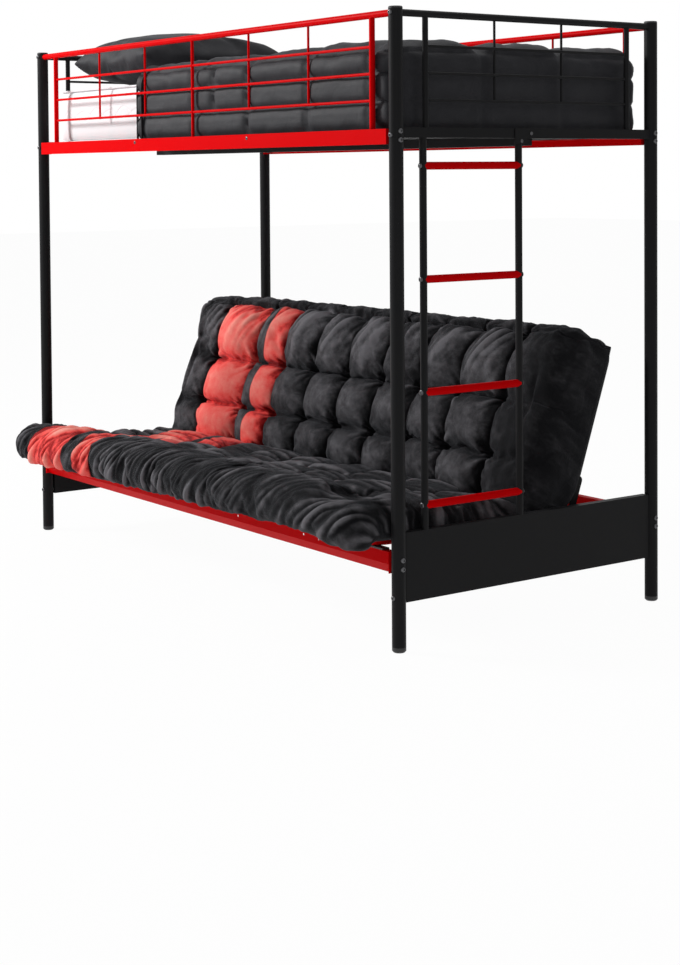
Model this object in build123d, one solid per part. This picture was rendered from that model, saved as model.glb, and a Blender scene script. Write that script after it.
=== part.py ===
from build123d import *
import math
import os

# A steel bunk on four round posts over a futon sofa that pulls out and folds flat.
# X runs along the bed towards the ladder end, the front faces -Y, and +Z is up.

# Posts and overall size
post_pitch_x = 2000.0
post_pitch_y = 950.0
bed_height = 1700.0
post_d = 38.0
post_wall = 1.5
cap_rim_h = 5.0
cap_edge = 2.0
cap_stem = 6.0
foot_h = 14.0
foot_edge = 4.0
foot_stem = 18.0
fit_gap = 0.2
run_gap = 0.4
soft_gap = 0.3
overrun = 3.0

# Upper side rails, of sheet with a welded ledge for the slats
rail_drop = 360.0
rail_h = 41.0
rail_sheet = 2.5
rail_ledge = 44.0
ledge_lift = 22.0
rail_end_plate = 3.0

# Guards of round tube and thin rod
guard_rail_drop = 16.0
guard_rail_d = 19.0
guard_upright_d = 16.0
guard_middle_d = 10.0
tube_wall = 1.4
guard_rod_d = 8.0
guard_drop_d = 7.0
guard_row_drop = 84.0
guard_row_pitch = 71.5
guard_rows = 3
side_upright_inset = 100.0
end_upright_inset = 100.0
side_drops_per_bay = 2
end_drop_x = 125.0

# Cross rails of the two ends
cross_lift = 17.0
cross_h = 27.0
cross_w = 20.0

# Bunk base
slat_count = 14
slat_pitch = 130.0
slat_w = 40.0
slat_h = 15.0
slat_end_gap = 3.5
cross_bar_plug = 20.0
strap_w = 30.0
strap_h = 25.0
strap_plate = 3.0

# End panels and the guide plates that close them
panel_top = 315.0
panel_h = 185.0
panel_sheet = 1.5
panel_proud = 8.0
guide_inset = 15.0
guide_t = 4.0

# Lower rails
lower_drop = 50.0
lower_h = 60.0
lower_web = 33.0
lower_sheet = 2.0
lower_flange = 24.0
lower_fold_in = 20.0
lower_hole_d = 7.0
lower_hole_insets = (721.0, 386.0)
lower_slot_inset = 314.0
lower_slot_h = 12.0
glide_l = 60.0
glide_t = 4.7

# Ladder
ladder_inset = 90.0
ladder_w = 340.0
ladder_d = 20.0
rung_d = 21.0
rung_first_z = 380.0
rung_pitch = 301.0
rung_count = 4
bracket_t = 3.0
bracket_w = 46.0
bracket_reach = 26.0
bracket_drop = 15.0
bracket_round = 8.0
bracket_screw_d = 5.0

# Bolts: domed head, shank and nut
bolt_d = 8.0
bolt_head_d = 14.0
bolt_head_h = 5.0
bolt_dome = 2.0
bolt_nut_d = 13.0
bolt_nut_h = 6.0
bolt_tail = 3.0
side_bolt_lifts = (34.0, 11.0)
lower_bolt_lifts = (41.0, 17.0)
end_bolt_lift = 7.0
panel_bolt_lift = 15.0
rung_bolt_d = 6.0
rung_bolt_head_d = 15.0
rung_bolt_head_h = 4.0
rung_bolt_tail = 14.0

# Sofa mechanism
hinge_inset = 289.0
slide_travel = 320.0
back_slope = 70.0
deck_d = 25.0
deck_side_inset = 75.0
deck_bend = 60.0
deck_front_past = 11.0
seat_tail = 16.0
seat_cross_back = 30.0
pin_d = 12.0
bush_d = 16.0
slot_front_margin = 26.0
slot_floor = 24.1
pin_past = 4.0
bush_l = 8.0
crank_t = 4.0
crank_inset = 60.0
crank_eye = 12.0
crank_angle = -20.0
crank_leg = 95.0
back_start = 30.0
back_length = 505.0
back_cross_up = 48.0
deck_slat_w = 30.0
deck_slat_h = 8.0
deck_slats = 9
deck_slat_pitch = 200.0
path_steps = 8

# Futon: a grid of sewn puffs on both halves, thin at the crease where it folds
futon_left_inset = 30.0
futon_right_inset = 42.0
plain_left = 162.0
wide_stripe = 249.0
tuft_pitch = 186.0
plain_right = 215.0
futon_front_past = 106.0
seat_lip = 34.0
seat_droop = 18.0
seat_thick = 105.0
crease_thick = 40.0
crease_forward = 205.0
seat_rear_stop = 55.0
seat_puff = 14.0
seat_rows = 3
seat_roll_r = 62.0
lobe_past = 18.0
lobe_back_past = 18.0
back_valley = 174.0
back_puff = 34.0
back_row_shares = (0.19, 0.5, 0.905)
back_soft_past = 25.0
back_rear_round = 45.0
back_front_round = 60.0

# Bedding on the bunk
mattress_end_gap = 50.0
mattress_side_gap = 35.0
mattress_h = 185.0
mattress_round = 50.0
mattress_edge = 18.0
quilt_length = 1340.0
quilt_cover = 23.0
quilt_top = 46.0
quilt_puff = 32.0
quilt_hem_lift = 2.0
quilt_columns = 4
quilt_rows = 3
quilt_seam = 8.0
quilt_side_puff = 7.0
quilt_end_past = 22.0
pillow_l = 640.0
pillow_w = 500.0
pillow_t = 140.0
pillow_draw = 28.0
pillow_corner = 8.0
pillow_tilt = 15.0
pillow_inset_x = 238.0
pillow_inset_y = 50.0

# Frame places worked out from the sizes above
end_x = post_pitch_x / 2
side_y = post_pitch_y / 2
post_r = post_d / 2
rail_face = side_y + post_r
rail_end = end_x - post_r
rail_bottom = bed_height - rail_drop
rail_top = rail_bottom + rail_h
ledge_z = rail_bottom + ledge_lift
base_top = ledge_z + slat_h
web_inner = rail_face - rail_sheet
guard_rail_z = bed_height - guard_rail_drop
guard_row_z = guard_rail_z - guard_row_drop
cross_bottom = rail_bottom + cross_lift
cross_top = cross_bottom + cross_h
cross_bar_bolt_z = ledge_z + slat_h / 2
panel_bottom = panel_top - panel_h
panel_end_y = side_y - post_r
panel_outer = end_x + panel_proud
guide_inner = end_x - guide_inset
guide_outer = guide_inner + guide_t
lower_top = panel_top - lower_drop
lower_bottom = lower_top - lower_h
ladder_front_y = ladder_inset - side_y
ladder_rear_y = ladder_front_y + ladder_w
side_bolt_z = [rail_bottom + lift for lift in side_bolt_lifts]
lower_bolt_z = [lower_bottom + lift for lift in lower_bolt_lifts]
end_bolt_z = [guard_rail_z, cross_bottom + end_bolt_lift]
panel_bolt_z = panel_bottom + panel_bolt_lift

# Sofa places
deck_r = deck_d / 2
deck_side_x = end_x - deck_side_inset
hinge_y = rail_face - hinge_inset
hinge_z = lower_top + glide_t + soft_gap + deck_r
seat_top_z = hinge_z + deck_r
seat_front_y = -(rail_face + deck_front_past)
guide_pin_y = slot_front_margin + slide_travel - panel_end_y
pin_end = guide_outer + pin_past
crank_x = end_x - crank_inset
crank_arm = hinge_z - panel_bottom - bush_d / 2 - run_gap - slot_floor
fold_deg = back_slope
ratio = math.radians(fold_deg) / slide_travel

# Futon places
futon_left = futon_left_inset - end_x
futon_right = end_x - futon_right_inset
tuft_columns = round((futon_right - futon_left - plain_left - wide_stripe - plain_right) / tuft_pitch)
seat_reach_y = -(rail_face + futon_front_past)
seat_lip_y = seat_reach_y + seat_lip
seat_droop_z = lower_top + seat_droop
crease_y = hinge_y - crease_forward
crease_z = seat_top_z + soft_gap + crease_thick
split_y = hinge_y - seat_rear_stop
lobe_left = -(end_x + lobe_past)
lobe_back_y = -(rail_face + lobe_back_past)
back_soft_length = back_length + back_soft_past

# Bedding places
mattress_l = post_pitch_x - 2 * mattress_end_gap
mattress_w = post_pitch_y - 2 * mattress_side_gap
quilt_left = mattress_l / 2 - quilt_length
quilt_hem_z = base_top + quilt_hem_lift
quilt_end_reach = mattress_l / 2 + quilt_end_past
pillow_x = pillow_inset_x - mattress_l / 2
pillow_y = (pillow_l - mattress_w) / 2 + pillow_inset_y

plan_shift = -(seat_reach_y + rail_face + bolt_head_h) / 2
BASE = (Align.CENTER, Align.CENTER, Align.MIN)
TOP = (Align.CENTER, Align.CENTER, Align.MAX)
nodes = {}


def bar(start, end, diameter):
    # A solid round bar from one point to another
    run = Vector(*end) - Vector(*start)
    return Plane(origin=start, z_dir=run.normalized()) * Cylinder(diameter / 2, run.length, align=BASE)


def tube(start, end, diameter, wall):
    # A round tube from one point to another, open at both ends
    return bar(start, end, diameter) - bar(start, end, diameter - 2 * wall)


def block(low, high):
    # A square-edged block between two corners
    size = [b - a for a, b in zip(low, high)]
    middle = [(a + b) / 2 for a, b in zip(low, high)]
    return Pos(*middle) * Box(*size)


def sheet_bar(points, half_length):
    # A profile drawn in Y and Z and run along X, the same both ways
    face = make_face(Polyline(*[(0, y, z) for y, z in points], close=True))
    return extrude(face, half_length, dir=(1, 0, 0), both=True)


def both_ends(part):
    # A right-hand part and its twin at the left end
    return [part, part.mirror(Plane.YZ)]


def four_posts():
    return [(x, y) for x in (-end_x, end_x) for y in (-side_y, side_y)]


def bolt(seat, direction, shank_d, head_d, head_h, shank_l, nut_at=None):
    # A round-headed bolt whose head sits at seat, with its nut where one is fitted
    rim = head_h - bolt_dome
    head = Cylinder(head_d / 2, rim, align=TOP)
    head += Pos(0, 0, -rim) * Cone(head_d / 2 - bolt_dome, head_d / 2, bolt_dome, align=TOP)
    made = head + Cylinder(shank_d / 2, shank_l, align=BASE)
    if nut_at is not None:
        made += Pos(0, 0, nut_at) * extrude(RegularPolygon(bolt_nut_d / 2, 6), bolt_nut_h)
    return Plane(origin=seat, z_dir=direction) * made


def post(x, y):
    # One leg: a tube from foot to top cap, drilled for its own bolts
    made = tube((x, y, foot_h), (x, y, bed_height - cap_rim_h), post_d, post_wall)
    out_x = math.copysign(1, x)
    out_y = math.copysign(1, y)
    hole = bolt_d + 2 * fit_gap
    for z in side_bolt_z + lower_bolt_z:
        made -= bar((x - out_x * (post_r + overrun), y, z), (x + out_x * (post_r + overrun), y, z), hole)
    for z in [*end_bolt_z, panel_bolt_z]:
        made -= bar((x, y - out_y * (post_r + overrun), z), (x, y + out_y * (post_r + overrun), z), hole)
    return made


def top_cap(x, y):
    # A plastic plug with a bevelled rim that closes a post
    rim = Cylinder(post_r, cap_rim_h, align=BASE)
    rim = chamfer(rim.edges().sort_by(Axis.Z)[-1], cap_edge)
    stem = Cylinder(post_r - post_wall - fit_gap, cap_stem, align=TOP)
    return Pos(x, y, bed_height - cap_rim_h) * (rim + stem)


def foot_cap(x, y):
    # A plastic foot with a bevelled sole and a stem up the post
    sole = Cylinder(post_r, foot_h, align=BASE)
    sole = chamfer(sole.edges().sort_by(Axis.Z)[0], foot_edge)
    stem = Pos(0, 0, foot_h) * Cylinder(post_r - post_wall - fit_gap, foot_stem, align=BASE)
    return Pos(x, y, 0) * (sole + stem)


def side_bolts(heights):
    # Bolts along X through each post into the rails' end plates
    made = []
    for x, y in four_posts():
        out = math.copysign(1, x)
        for z in heights:
            nut_at = post_d + rail_end_plate
            length = nut_at + bolt_nut_h + bolt_tail
            made.append(bolt((x + out * post_r, y, z), (-out, 0, 0), bolt_d, bolt_head_d, bolt_head_h,
                             length, nut_at))
    return made


def end_bolts():
    # Bolts along Y through each post into the end rails, and the panel's with a nut
    made = []
    for x, y in four_posts():
        out = math.copysign(1, y)
        seat = y + out * post_r
        for z in end_bolt_z:
            made.append(bolt((x, seat, z), (0, -out, 0), bolt_d, bolt_head_d, bolt_head_h,
                             post_d + bolt_nut_h + bolt_tail))
        nut_at = post_d + panel_sheet
        made.append(bolt((x, seat, panel_bolt_z), (0, -out, 0), bolt_d, bolt_head_d, bolt_head_h,
                         nut_at + bolt_nut_h + bolt_tail, nut_at))
    return made


def upper_rail(side):
    # Side rail: an upright web, a ledge welded along its inside, and an end plate each end
    face = side * rail_face
    inner = side * web_inner
    lip = side * (rail_face - rail_ledge)
    top = rail_top
    under = ledge_z - rail_sheet
    made = sheet_bar([(face, rail_bottom), (face, top), (inner, top), (inner, ledge_z), (lip, ledge_z),
                      (lip, under), (inner, under), (inner, rail_bottom)], rail_end)
    plate_in = side * (side_y - post_r)
    for out in (-1, 1):
        low_x, high_x = sorted((out * rail_end, out * (rail_end - rail_end_plate)))
        low_y, high_y = sorted((inner, plate_in))
        plate = block((low_x, low_y, rail_bottom), (high_x, high_y, top))
        for z in side_bolt_z:
            plate -= bar((out * (rail_end + overrun), side * side_y, z),
                         (out * (rail_end - rail_end_plate - overrun), side * side_y, z),
                         bolt_d + 2 * fit_gap)
        made += plate
    for x in cross_bar_places():
        made -= bar((x, side * (rail_face + overrun), cross_bar_bolt_z),
                    (x, side * (web_inner - overrun), cross_bar_bolt_z), rung_bolt_d + 2 * fit_gap)
    return made


def slat_cross_index():
    # Which slat from the middle is the bolted cross bar: the third in a base of fourteen
    return slat_count // 6


def cross_bar_places():
    return [out * slat_pitch * (slat_cross_index() + 0.5) for out in (-1, 1)]


def guard(half_span, upright_at, drop_at, side_guard):
    # One guard drawn along X at y = 0 with its inner side towards +Y
    upright_foot = ledge_z if side_guard else cross_top
    rail = tube((-half_span, 0, guard_rail_z), (half_span, 0, guard_rail_z), guard_rail_d, tube_wall)
    for out in (-1, 1):
        rail -= bar((out * half_span, 0, guard_rail_z - guard_rail_d),
                    (out * half_span, 0, guard_rail_z + guard_rail_d), post_d)
    solid_rail = bar((-half_span, 0, guard_rail_z), (half_span, 0, guard_rail_z), guard_rail_d)
    widths = [guard_upright_d if x else guard_middle_d for x in upright_at]
    uprights = [tube((x, 0, upright_foot), (x, 0, guard_rail_z), width, tube_wall) - solid_rail
                for x, width in zip(upright_at, widths)]
    rods = []
    for row in range(guard_rows):
        z = guard_row_z - row * guard_row_pitch
        for a, b, width_a, width_b in zip(upright_at, upright_at[1:], widths, widths[1:]):
            rods.append(bar((a + width_a / 2, 0, z), (b - width_b / 2, 0, z), guard_rod_d))
    inward = (guard_rod_d + guard_drop_d) / 2
    near = inward - guard_drop_d / 2
    drop_top = guard_rail_z - math.sqrt((guard_rail_d / 2) ** 2 - near ** 2)
    drop_foot = guard_row_z - (guard_rows - 1) * guard_row_pitch - guard_rod_d / 2
    rods += [bar((x, inward, drop_foot), (x, inward, drop_top), guard_drop_d) for x in drop_at]
    return {"top_rail": [rail], "uprights": uprights, "rods": rods}


def add_guards():
    # Four guards: two long red ones and two short black ones
    outer = end_x - side_upright_inset
    bay = outer / (side_drops_per_bay + 1)
    drops = [out * bay * (step + 1) for out in (-1, 1) for step in range(side_drops_per_bay)]
    long_guard = guard(end_x, [-outer, 0, outer], drops, True)
    reach = side_y - end_upright_inset
    short_guard = guard(side_y, [-reach, reach], [-end_drop_x, end_drop_x], False)
    for name, made, place in (
        ("front", long_guard, Pos(0, -side_y, 0)),
        ("rear", long_guard, Pos(0, side_y, 0) * Rot(0, 0, 180)),
        ("left_end", short_guard, Pos(-end_x, 0, 0) * Rot(0, 0, -90)),
        ("right_end", short_guard, Pos(end_x, 0, 0) * Rot(0, 0, 90)),
    ):
        for kind, solids in made.items():
            nodes[f"{name}_guard_{kind}"] = [place * solid for solid in solids]


def cross_rail(out):
    # Square tube between two posts, its ends shaped to them
    x = out * end_x
    made = block((x - cross_w / 2, -side_y, cross_bottom), (x + cross_w / 2, side_y, cross_top))
    made -= block((x - cross_w / 2 + tube_wall, -side_y, cross_bottom + tube_wall),
                  (x + cross_w / 2 - tube_wall, side_y, cross_top - tube_wall))
    for y in (-side_y, side_y):
        made -= bar((x, y, cross_bottom - overrun), (x, y, cross_top + overrun), post_d)
    return made


def base_slats():
    # Flat tubes from ledge to ledge, apart from the two bolted cross bars
    made = []
    for step in range(slat_count // 2):
        if step == slat_cross_index():
            continue
        for out in (-1, 1):
            x = out * slat_pitch * (step + 0.5)
            made.append(slat(x, web_inner - slat_end_gap))
    return made


def slat(x, reach):
    outer = block((x - slat_w / 2, -reach, ledge_z), (x + slat_w / 2, reach, base_top))
    return outer - block((x - slat_w / 2 + tube_wall, -reach, ledge_z + tube_wall),
                         (x + slat_w / 2 - tube_wall, reach, base_top - tube_wall))


def cross_bars():
    # Two slats from web to web, their plugged ends drilled for the bolts through the side rails
    made = []
    for x in cross_bar_places():
        piece = slat(x, web_inner)
        for side in (-1, 1):
            low, high = sorted((side * web_inner, side * (web_inner - cross_bar_plug)))
            plug = block((x - slat_w / 2, low, ledge_z), (x + slat_w / 2, high, base_top))
            plug -= bar((x, low - overrun, cross_bar_bolt_z), (x, high + overrun, cross_bar_bolt_z),
                        rung_bolt_d + 2 * fit_gap)
            piece += plug
        made.append(piece)
    return made


def cross_bar_bolts():
    made = []
    for x in cross_bar_places():
        for side in (-1, 1):
            made.append(bolt((x, side * rail_face, cross_bar_bolt_z), (0, -side, 0), rung_bolt_d,
                             rung_bolt_d + 2 * bolt_dome, bolt_dome + fit_gap, rail_sheet + cross_bar_plug))
    return made


def tie_strap():
    # Square tube under the slats with an end plate against each cross rail
    reach = end_x - cross_w / 2
    low, high = ledge_z - strap_h, ledge_z
    made = block((-reach, -strap_w / 2, low), (reach, strap_w / 2, high))
    made -= block((-reach, -strap_w / 2 + tube_wall, low + tube_wall),
                  (reach, strap_w / 2 - tube_wall, high - tube_wall))
    plate = block((reach - strap_plate, -strap_w / 2, low), (reach, strap_w / 2, cross_top))
    right, left = both_ends(plate)
    return made + right + left


def end_panel(out):
    # Folded tray between the posts, open towards the bed
    low_x, high_x = sorted((out * guide_outer, out * panel_outer))
    made = block((low_x, -panel_end_y, panel_bottom), (high_x, panel_end_y, panel_top))
    in_x, out_x = sorted((out * (guide_outer - overrun), out * (panel_outer - panel_sheet)))
    made -= block((in_x, -panel_end_y + panel_sheet, panel_bottom + panel_sheet),
                  (out_x, panel_end_y - panel_sheet, panel_top - panel_sheet))
    for y in (-panel_end_y, panel_end_y):
        made -= bar((out * end_x, y - overrun, panel_bolt_z), (out * end_x, y + overrun, panel_bolt_z),
                    bolt_d + 2 * fit_gap)
    return made


def crank_pin_at(travel):
    # Where the crank pin is, in Y and Z, when the seat has come out by travel
    angle = math.radians(crank_angle) - ratio * travel
    return (hinge_y - travel + crank_arm * math.cos(angle), hinge_z + crank_arm * math.sin(angle))


def crank_heading(travel):
    # Unit direction of the crank pin's path
    angle = math.radians(crank_angle) - ratio * travel
    dy = -1 + crank_arm * ratio * math.sin(angle)
    dz = -crank_arm * ratio * math.cos(angle)
    length = math.hypot(dy, dz)
    return dy / length, dz / length


def curved_slot(x, thickness):
    # The slot that the crank pins follow: their path, widened by the bush and its running gap
    half = bush_d / 2 + run_gap
    steps = [slide_travel * step / path_steps for step in range(path_steps + 1)]
    above, below = [], []
    for travel in steps:
        (y, z), (dy, dz) = crank_pin_at(travel), crank_heading(travel)
        above.append((x, y + half * dz, z - half * dy))
        below.append((x, y - half * dz, z + half * dy))
    (y0, z0), (dy0, dz0) = crank_pin_at(0), crank_heading(0)
    (y1, z1), (dy1, dz1) = crank_pin_at(slide_travel), crank_heading(slide_travel)
    outline = Wire([
        Edge.make_spline([Vector(*p) for p in above]),
        Edge.make_three_point_arc(above[-1], (x, y1 + half * dy1, z1 + half * dz1), below[-1]),
        Edge.make_spline([Vector(*p) for p in reversed(below)]),
        Edge.make_three_point_arc(below[0], (x, y0 - half * dy0, z0 - half * dz0), above[0]),
    ])
    return extrude(make_face(outline), thickness, dir=(1, 0, 0))


def guide_plate():
    # Right-hand plate welded behind the end panel: a straight slot for the seat, a curved one for the back
    plate = block((guide_inner, -panel_end_y, panel_bottom), (guide_outer, panel_end_y, panel_top))
    half = bush_d / 2 + run_gap
    front = guide_pin_y - slide_travel
    start = guide_inner - overrun
    depth = guide_t + 2 * overrun
    plate -= block((start, front, hinge_z - half), (start + depth, hinge_y, hinge_z + half))
    for y in (front, hinge_y):
        plate -= bar((start, y, hinge_z), (start + depth, y, hinge_z), 2 * half)
    return plate - curved_slot(start, depth)


def lower_rail(side):
    # Folded rail with a flat top, an upright web and a foot that slopes in
    face = rail_face
    t = lower_sheet
    web_foot = lower_top - lower_web
    slope = math.atan2(lower_fold_in, web_foot - lower_bottom)
    shift = t * math.tan((math.pi / 2 - slope) / 2 + math.pi / 4) - t
    outline = [
        (face, lower_top), (face, web_foot), (face - lower_fold_in, lower_bottom),
        (face - lower_fold_in - t * math.cos(slope), lower_bottom + t * math.sin(slope)),
        (face - t, web_foot + shift * math.sin(slope)), (face - t, lower_top - t),
        (face - lower_flange, lower_top - t), (face - lower_flange, lower_top),
    ]
    made = sheet_bar([(side * y, z) for y, z in outline], rail_end)
    for out in (-1, 1):
        low_x, high_x = sorted((out * rail_end, out * (rail_end - rail_end_plate)))
        low_y, high_y = sorted((side * (face - t), side * (side_y - post_r)))
        plate = block((low_x, low_y, lower_bottom + t), (high_x, high_y, lower_top))
        for z in lower_bolt_z:
            plate -= bar((low_x - overrun, side * side_y, z), (high_x + overrun, side * side_y, z),
                         bolt_d + 2 * fit_gap)
        made += plate
    if side < 0:
        z = lower_top - lower_web / 2
        for inset in lower_hole_insets:
            x = rail_end - inset
            made -= bar((x, -face - overrun, z), (x, -face + t + overrun, z), lower_hole_d)
        x = rail_end - lower_slot_inset
        made -= block((x - t, -face - overrun, z - lower_slot_h / 2), (x + t, -face + t + overrun,
                                                                       z + lower_slot_h / 2))
    return made


def glide_pads():
    # Nylon pads on the front rail that the seat deck slides over
    low = lower_top
    high = hinge_z - deck_r - soft_gap
    y = -(rail_face - lower_flange / 2)
    return both_ends(block((deck_side_x - glide_l / 2, y - lower_flange / 2, low),
                           (deck_side_x + glide_l / 2, y + lower_flange / 2, high)))


def ladder():
    # Two uprights from the end panel to the cross rail, and the rungs bolted between them
    x = end_x
    rung_z = [rung_first_z + step * rung_pitch for step in range(rung_count)]
    pair = ((ladder_front_y, -1), (ladder_rear_y, 1))
    uprights = []
    for y, out in pair:
        piece = tube((x, y, panel_top), (x, y, cross_bottom), ladder_d, tube_wall)
        for z in rung_z:
            piece -= bar((x, y - ladder_d, z), (x, y + ladder_d, z), rung_bolt_d + 2 * fit_gap)
        uprights.append(piece)
    rungs = []
    for z in rung_z:
        piece = tube((x, ladder_front_y, z), (x, ladder_rear_y, z), rung_d, tube_wall)
        for y, out in pair:
            piece -= bar((x, y, z - rung_d), (x, y, z + rung_d), ladder_d)
        rungs.append(piece)
    bolts = [bolt((x, y + out * ladder_d / 2, z), (0, -out, 0), rung_bolt_d, rung_bolt_head_d,
                  rung_bolt_head_h, ladder_d + rung_bolt_tail) for z in rung_z for y, out in pair]
    nodes["ladder_bracket"], nodes["bracket_screws"] = ladder_bracket()
    nodes["ladder_uprights"] = uprights
    nodes["ladder_rungs"] = rungs
    nodes["ladder_bolts"] = bolts


def ladder_bracket():
    # Plate that ties the rear upright's top to the cross rail, with one screw into each
    x = end_x + ladder_d / 2
    left, right = ladder_rear_y - bracket_w / 2, ladder_rear_y + bracket_w / 2
    plate = block((x, left, cross_bottom - bracket_drop), (x + bracket_t, right, cross_top))
    plate += block((x, left, cross_bottom), (x + bracket_t, right + bracket_reach, cross_top))
    corners = plate.edges().filter_by(Axis.X).filter_by(
        lambda edge: edge.center().Z < cross_bottom - fit_gap or edge.center().Y > right + fit_gap)
    plate = fillet(corners, bracket_round)
    places = [(ladder_rear_y, cross_bottom - bracket_drop / 2),
              (right + bracket_reach / 2, cross_bottom + cross_h / 2)]
    screws = []
    for y, z in places:
        plate -= bar((x - overrun, y, z), (x + bracket_t + overrun, y, z), bracket_screw_d + 2 * fit_gap)
        screws.append(bolt((x + bracket_t, y, z), (-1, 0, 0), bracket_screw_d, 2 * bracket_screw_d,
                           bolt_dome + fit_gap, bracket_t))
    return [plate], screws


def deck_path(side_x, low, high, bend):
    # Centre line of a U-bent deck tube in its own plane: x across, y along
    corner = high - math.copysign(bend, high - low)
    return [
        Edge.make_line((-side_x, low, 0), (-side_x, corner, 0)),
        Edge.make_three_point_arc((-side_x, corner, 0), bend_middle(-side_x, corner, high, bend),
                                  (-side_x + bend, high, 0)),
        Edge.make_line((-side_x + bend, high, 0), (side_x - bend, high, 0)),
        Edge.make_three_point_arc((side_x - bend, high, 0), bend_middle(side_x, corner, high, bend),
                                  (side_x, corner, 0)),
        Edge.make_line((side_x, corner, 0), (side_x, low, 0)),
    ]


def bend_middle(side_x, corner, high, bend):
    inner_x = side_x - math.copysign(bend, side_x)
    share = math.sqrt(0.5)
    return (inner_x + math.copysign(bend, side_x) * share, corner + (high - corner) * share, 0)


def bent_tube(side_x, low, high):
    # A U of deck tube, swept along its centre line
    path = Wire(deck_path(side_x, low, high, deck_bend))
    section = Plane(origin=(-side_x, low, 0), z_dir=(0, math.copysign(1, high - low), 0))
    ring = section * (Circle(deck_r) - Circle(deck_r - tube_wall))
    return sweep(ring, path=path)


def seat_deck():
    # Red U tube with rounded front corners, a cross tube at the rear and flat slats between
    frame = Pos(0, 0, hinge_z) * bent_tube(deck_side_x, hinge_y + seat_tail, seat_front_y)
    for out in (-1, 1):
        for y in (hinge_y, guide_pin_y):
            frame -= bar((out * (deck_side_x - deck_d), y, hinge_z),
                         (out * (deck_side_x + deck_d), y, hinge_z), pin_d + 2 * fit_gap)
    nodes["seat_deck_tube"] = [frame]
    rear_y = hinge_y - seat_cross_back - pin_d
    cross = tube((-deck_side_x, rear_y, hinge_z), (deck_side_x, rear_y, hinge_z), deck_d, tube_wall)
    for out in (-1, 1):
        cross -= bar((out * deck_side_x, rear_y - deck_d, hinge_z),
                     (out * deck_side_x, rear_y + deck_d, hinge_z), deck_d)
    nodes["seat_cross_tube"] = [cross]
    low_y, high_y = seat_front_y, rear_y
    ends = [bar((-deck_side_x, y, hinge_z), (deck_side_x, y, hinge_z), deck_d) for y in (low_y, high_y)]
    slats = []
    for x in slat_places():
        piece = block((x - deck_slat_w / 2, low_y, hinge_z - deck_slat_h / 2),
                      (x + deck_slat_w / 2, high_y, hinge_z + deck_slat_h / 2))
        slats.append(piece - ends[0] - ends[1])
    nodes["seat_slats"] = slats
    pins, bushes = [], []
    for y in (hinge_y, guide_pin_y):
        pins.append(bar((deck_side_x - deck_r, y, hinge_z), (pin_end, y, hinge_z), pin_d))
        bushes.append(bush(y, hinge_z))
    nodes["seat_pins"] = [twin for pin in pins for twin in both_ends(pin)]
    nodes["seat_bushes"] = [twin for piece in bushes for twin in both_ends(piece)]


def slat_places():
    middle = (deck_slats - 1) / 2
    return [deck_slat_pitch * (step - middle) for step in range(deck_slats)]


def bush(y, z):
    # Nylon glide bush on a pin, running in a slot of the guide plate
    middle = (guide_inner + guide_outer) / 2
    start, end = (middle - bush_l / 2, y, z), (middle + bush_l / 2, y, z)
    return bar(start, end, bush_d) - bar(start, end, pin_d + fit_gap)


def tilted(part):
    # From the back's own plane (x across, y up the slope, z to the front) to its place at rest
    plane = Plane(origin=(0, hinge_y, hinge_z), x_dir=(1, 0, 0), z_dir=slope_normal())
    return plane * part


def slope_normal():
    angle = math.radians(back_slope)
    return (0, -math.sin(angle), math.cos(angle))


def crank():
    # Right-hand crank plate: an eye on the hinge pin, an arm to the crank pin and a leg up the side tube
    y, z = crank_pin_at(0)
    slope = math.radians(back_slope)
    leg = (hinge_y + crank_leg * math.cos(slope), hinge_z + crank_leg * math.sin(slope))
    plate = link((hinge_y, hinge_z), crank_eye, (y, z), crank_eye) + link((hinge_y, hinge_z), crank_eye, leg,
                                                                          deck_r)
    start, end = crank_x - overrun, crank_x + crank_t + overrun
    plate -= bar((start, hinge_y, hinge_z), (end, hinge_y, hinge_z), pin_d + 2 * run_gap)
    return plate - bar((start, y, z), (end, y, z), pin_d + 2 * fit_gap)


def link(a, radius_a, b, radius_b):
    # A flat link with round ends of their own sizes
    along = math.atan2(b[1] - a[1], b[0] - a[0])
    length = math.hypot(b[0] - a[0], b[1] - a[1])
    lean = math.acos((radius_a - radius_b) / length)
    corners = []
    for centre, radius, angle in ((a, radius_a, along + lean), (a, radius_a, along - lean),
                                  (b, radius_b, along - lean), (b, radius_b, along + lean)):
        corners.append((crank_x, centre[0] + radius * math.cos(angle), centre[1] + radius * math.sin(angle)))
    flat = extrude(make_face(Polyline(*corners, close=True)), crank_t, dir=(1, 0, 0))
    for centre, radius in ((a, radius_a), (b, radius_b)):
        flat += bar((crank_x, *centre), (crank_x + crank_t, *centre), 2 * radius)
    return flat


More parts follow.
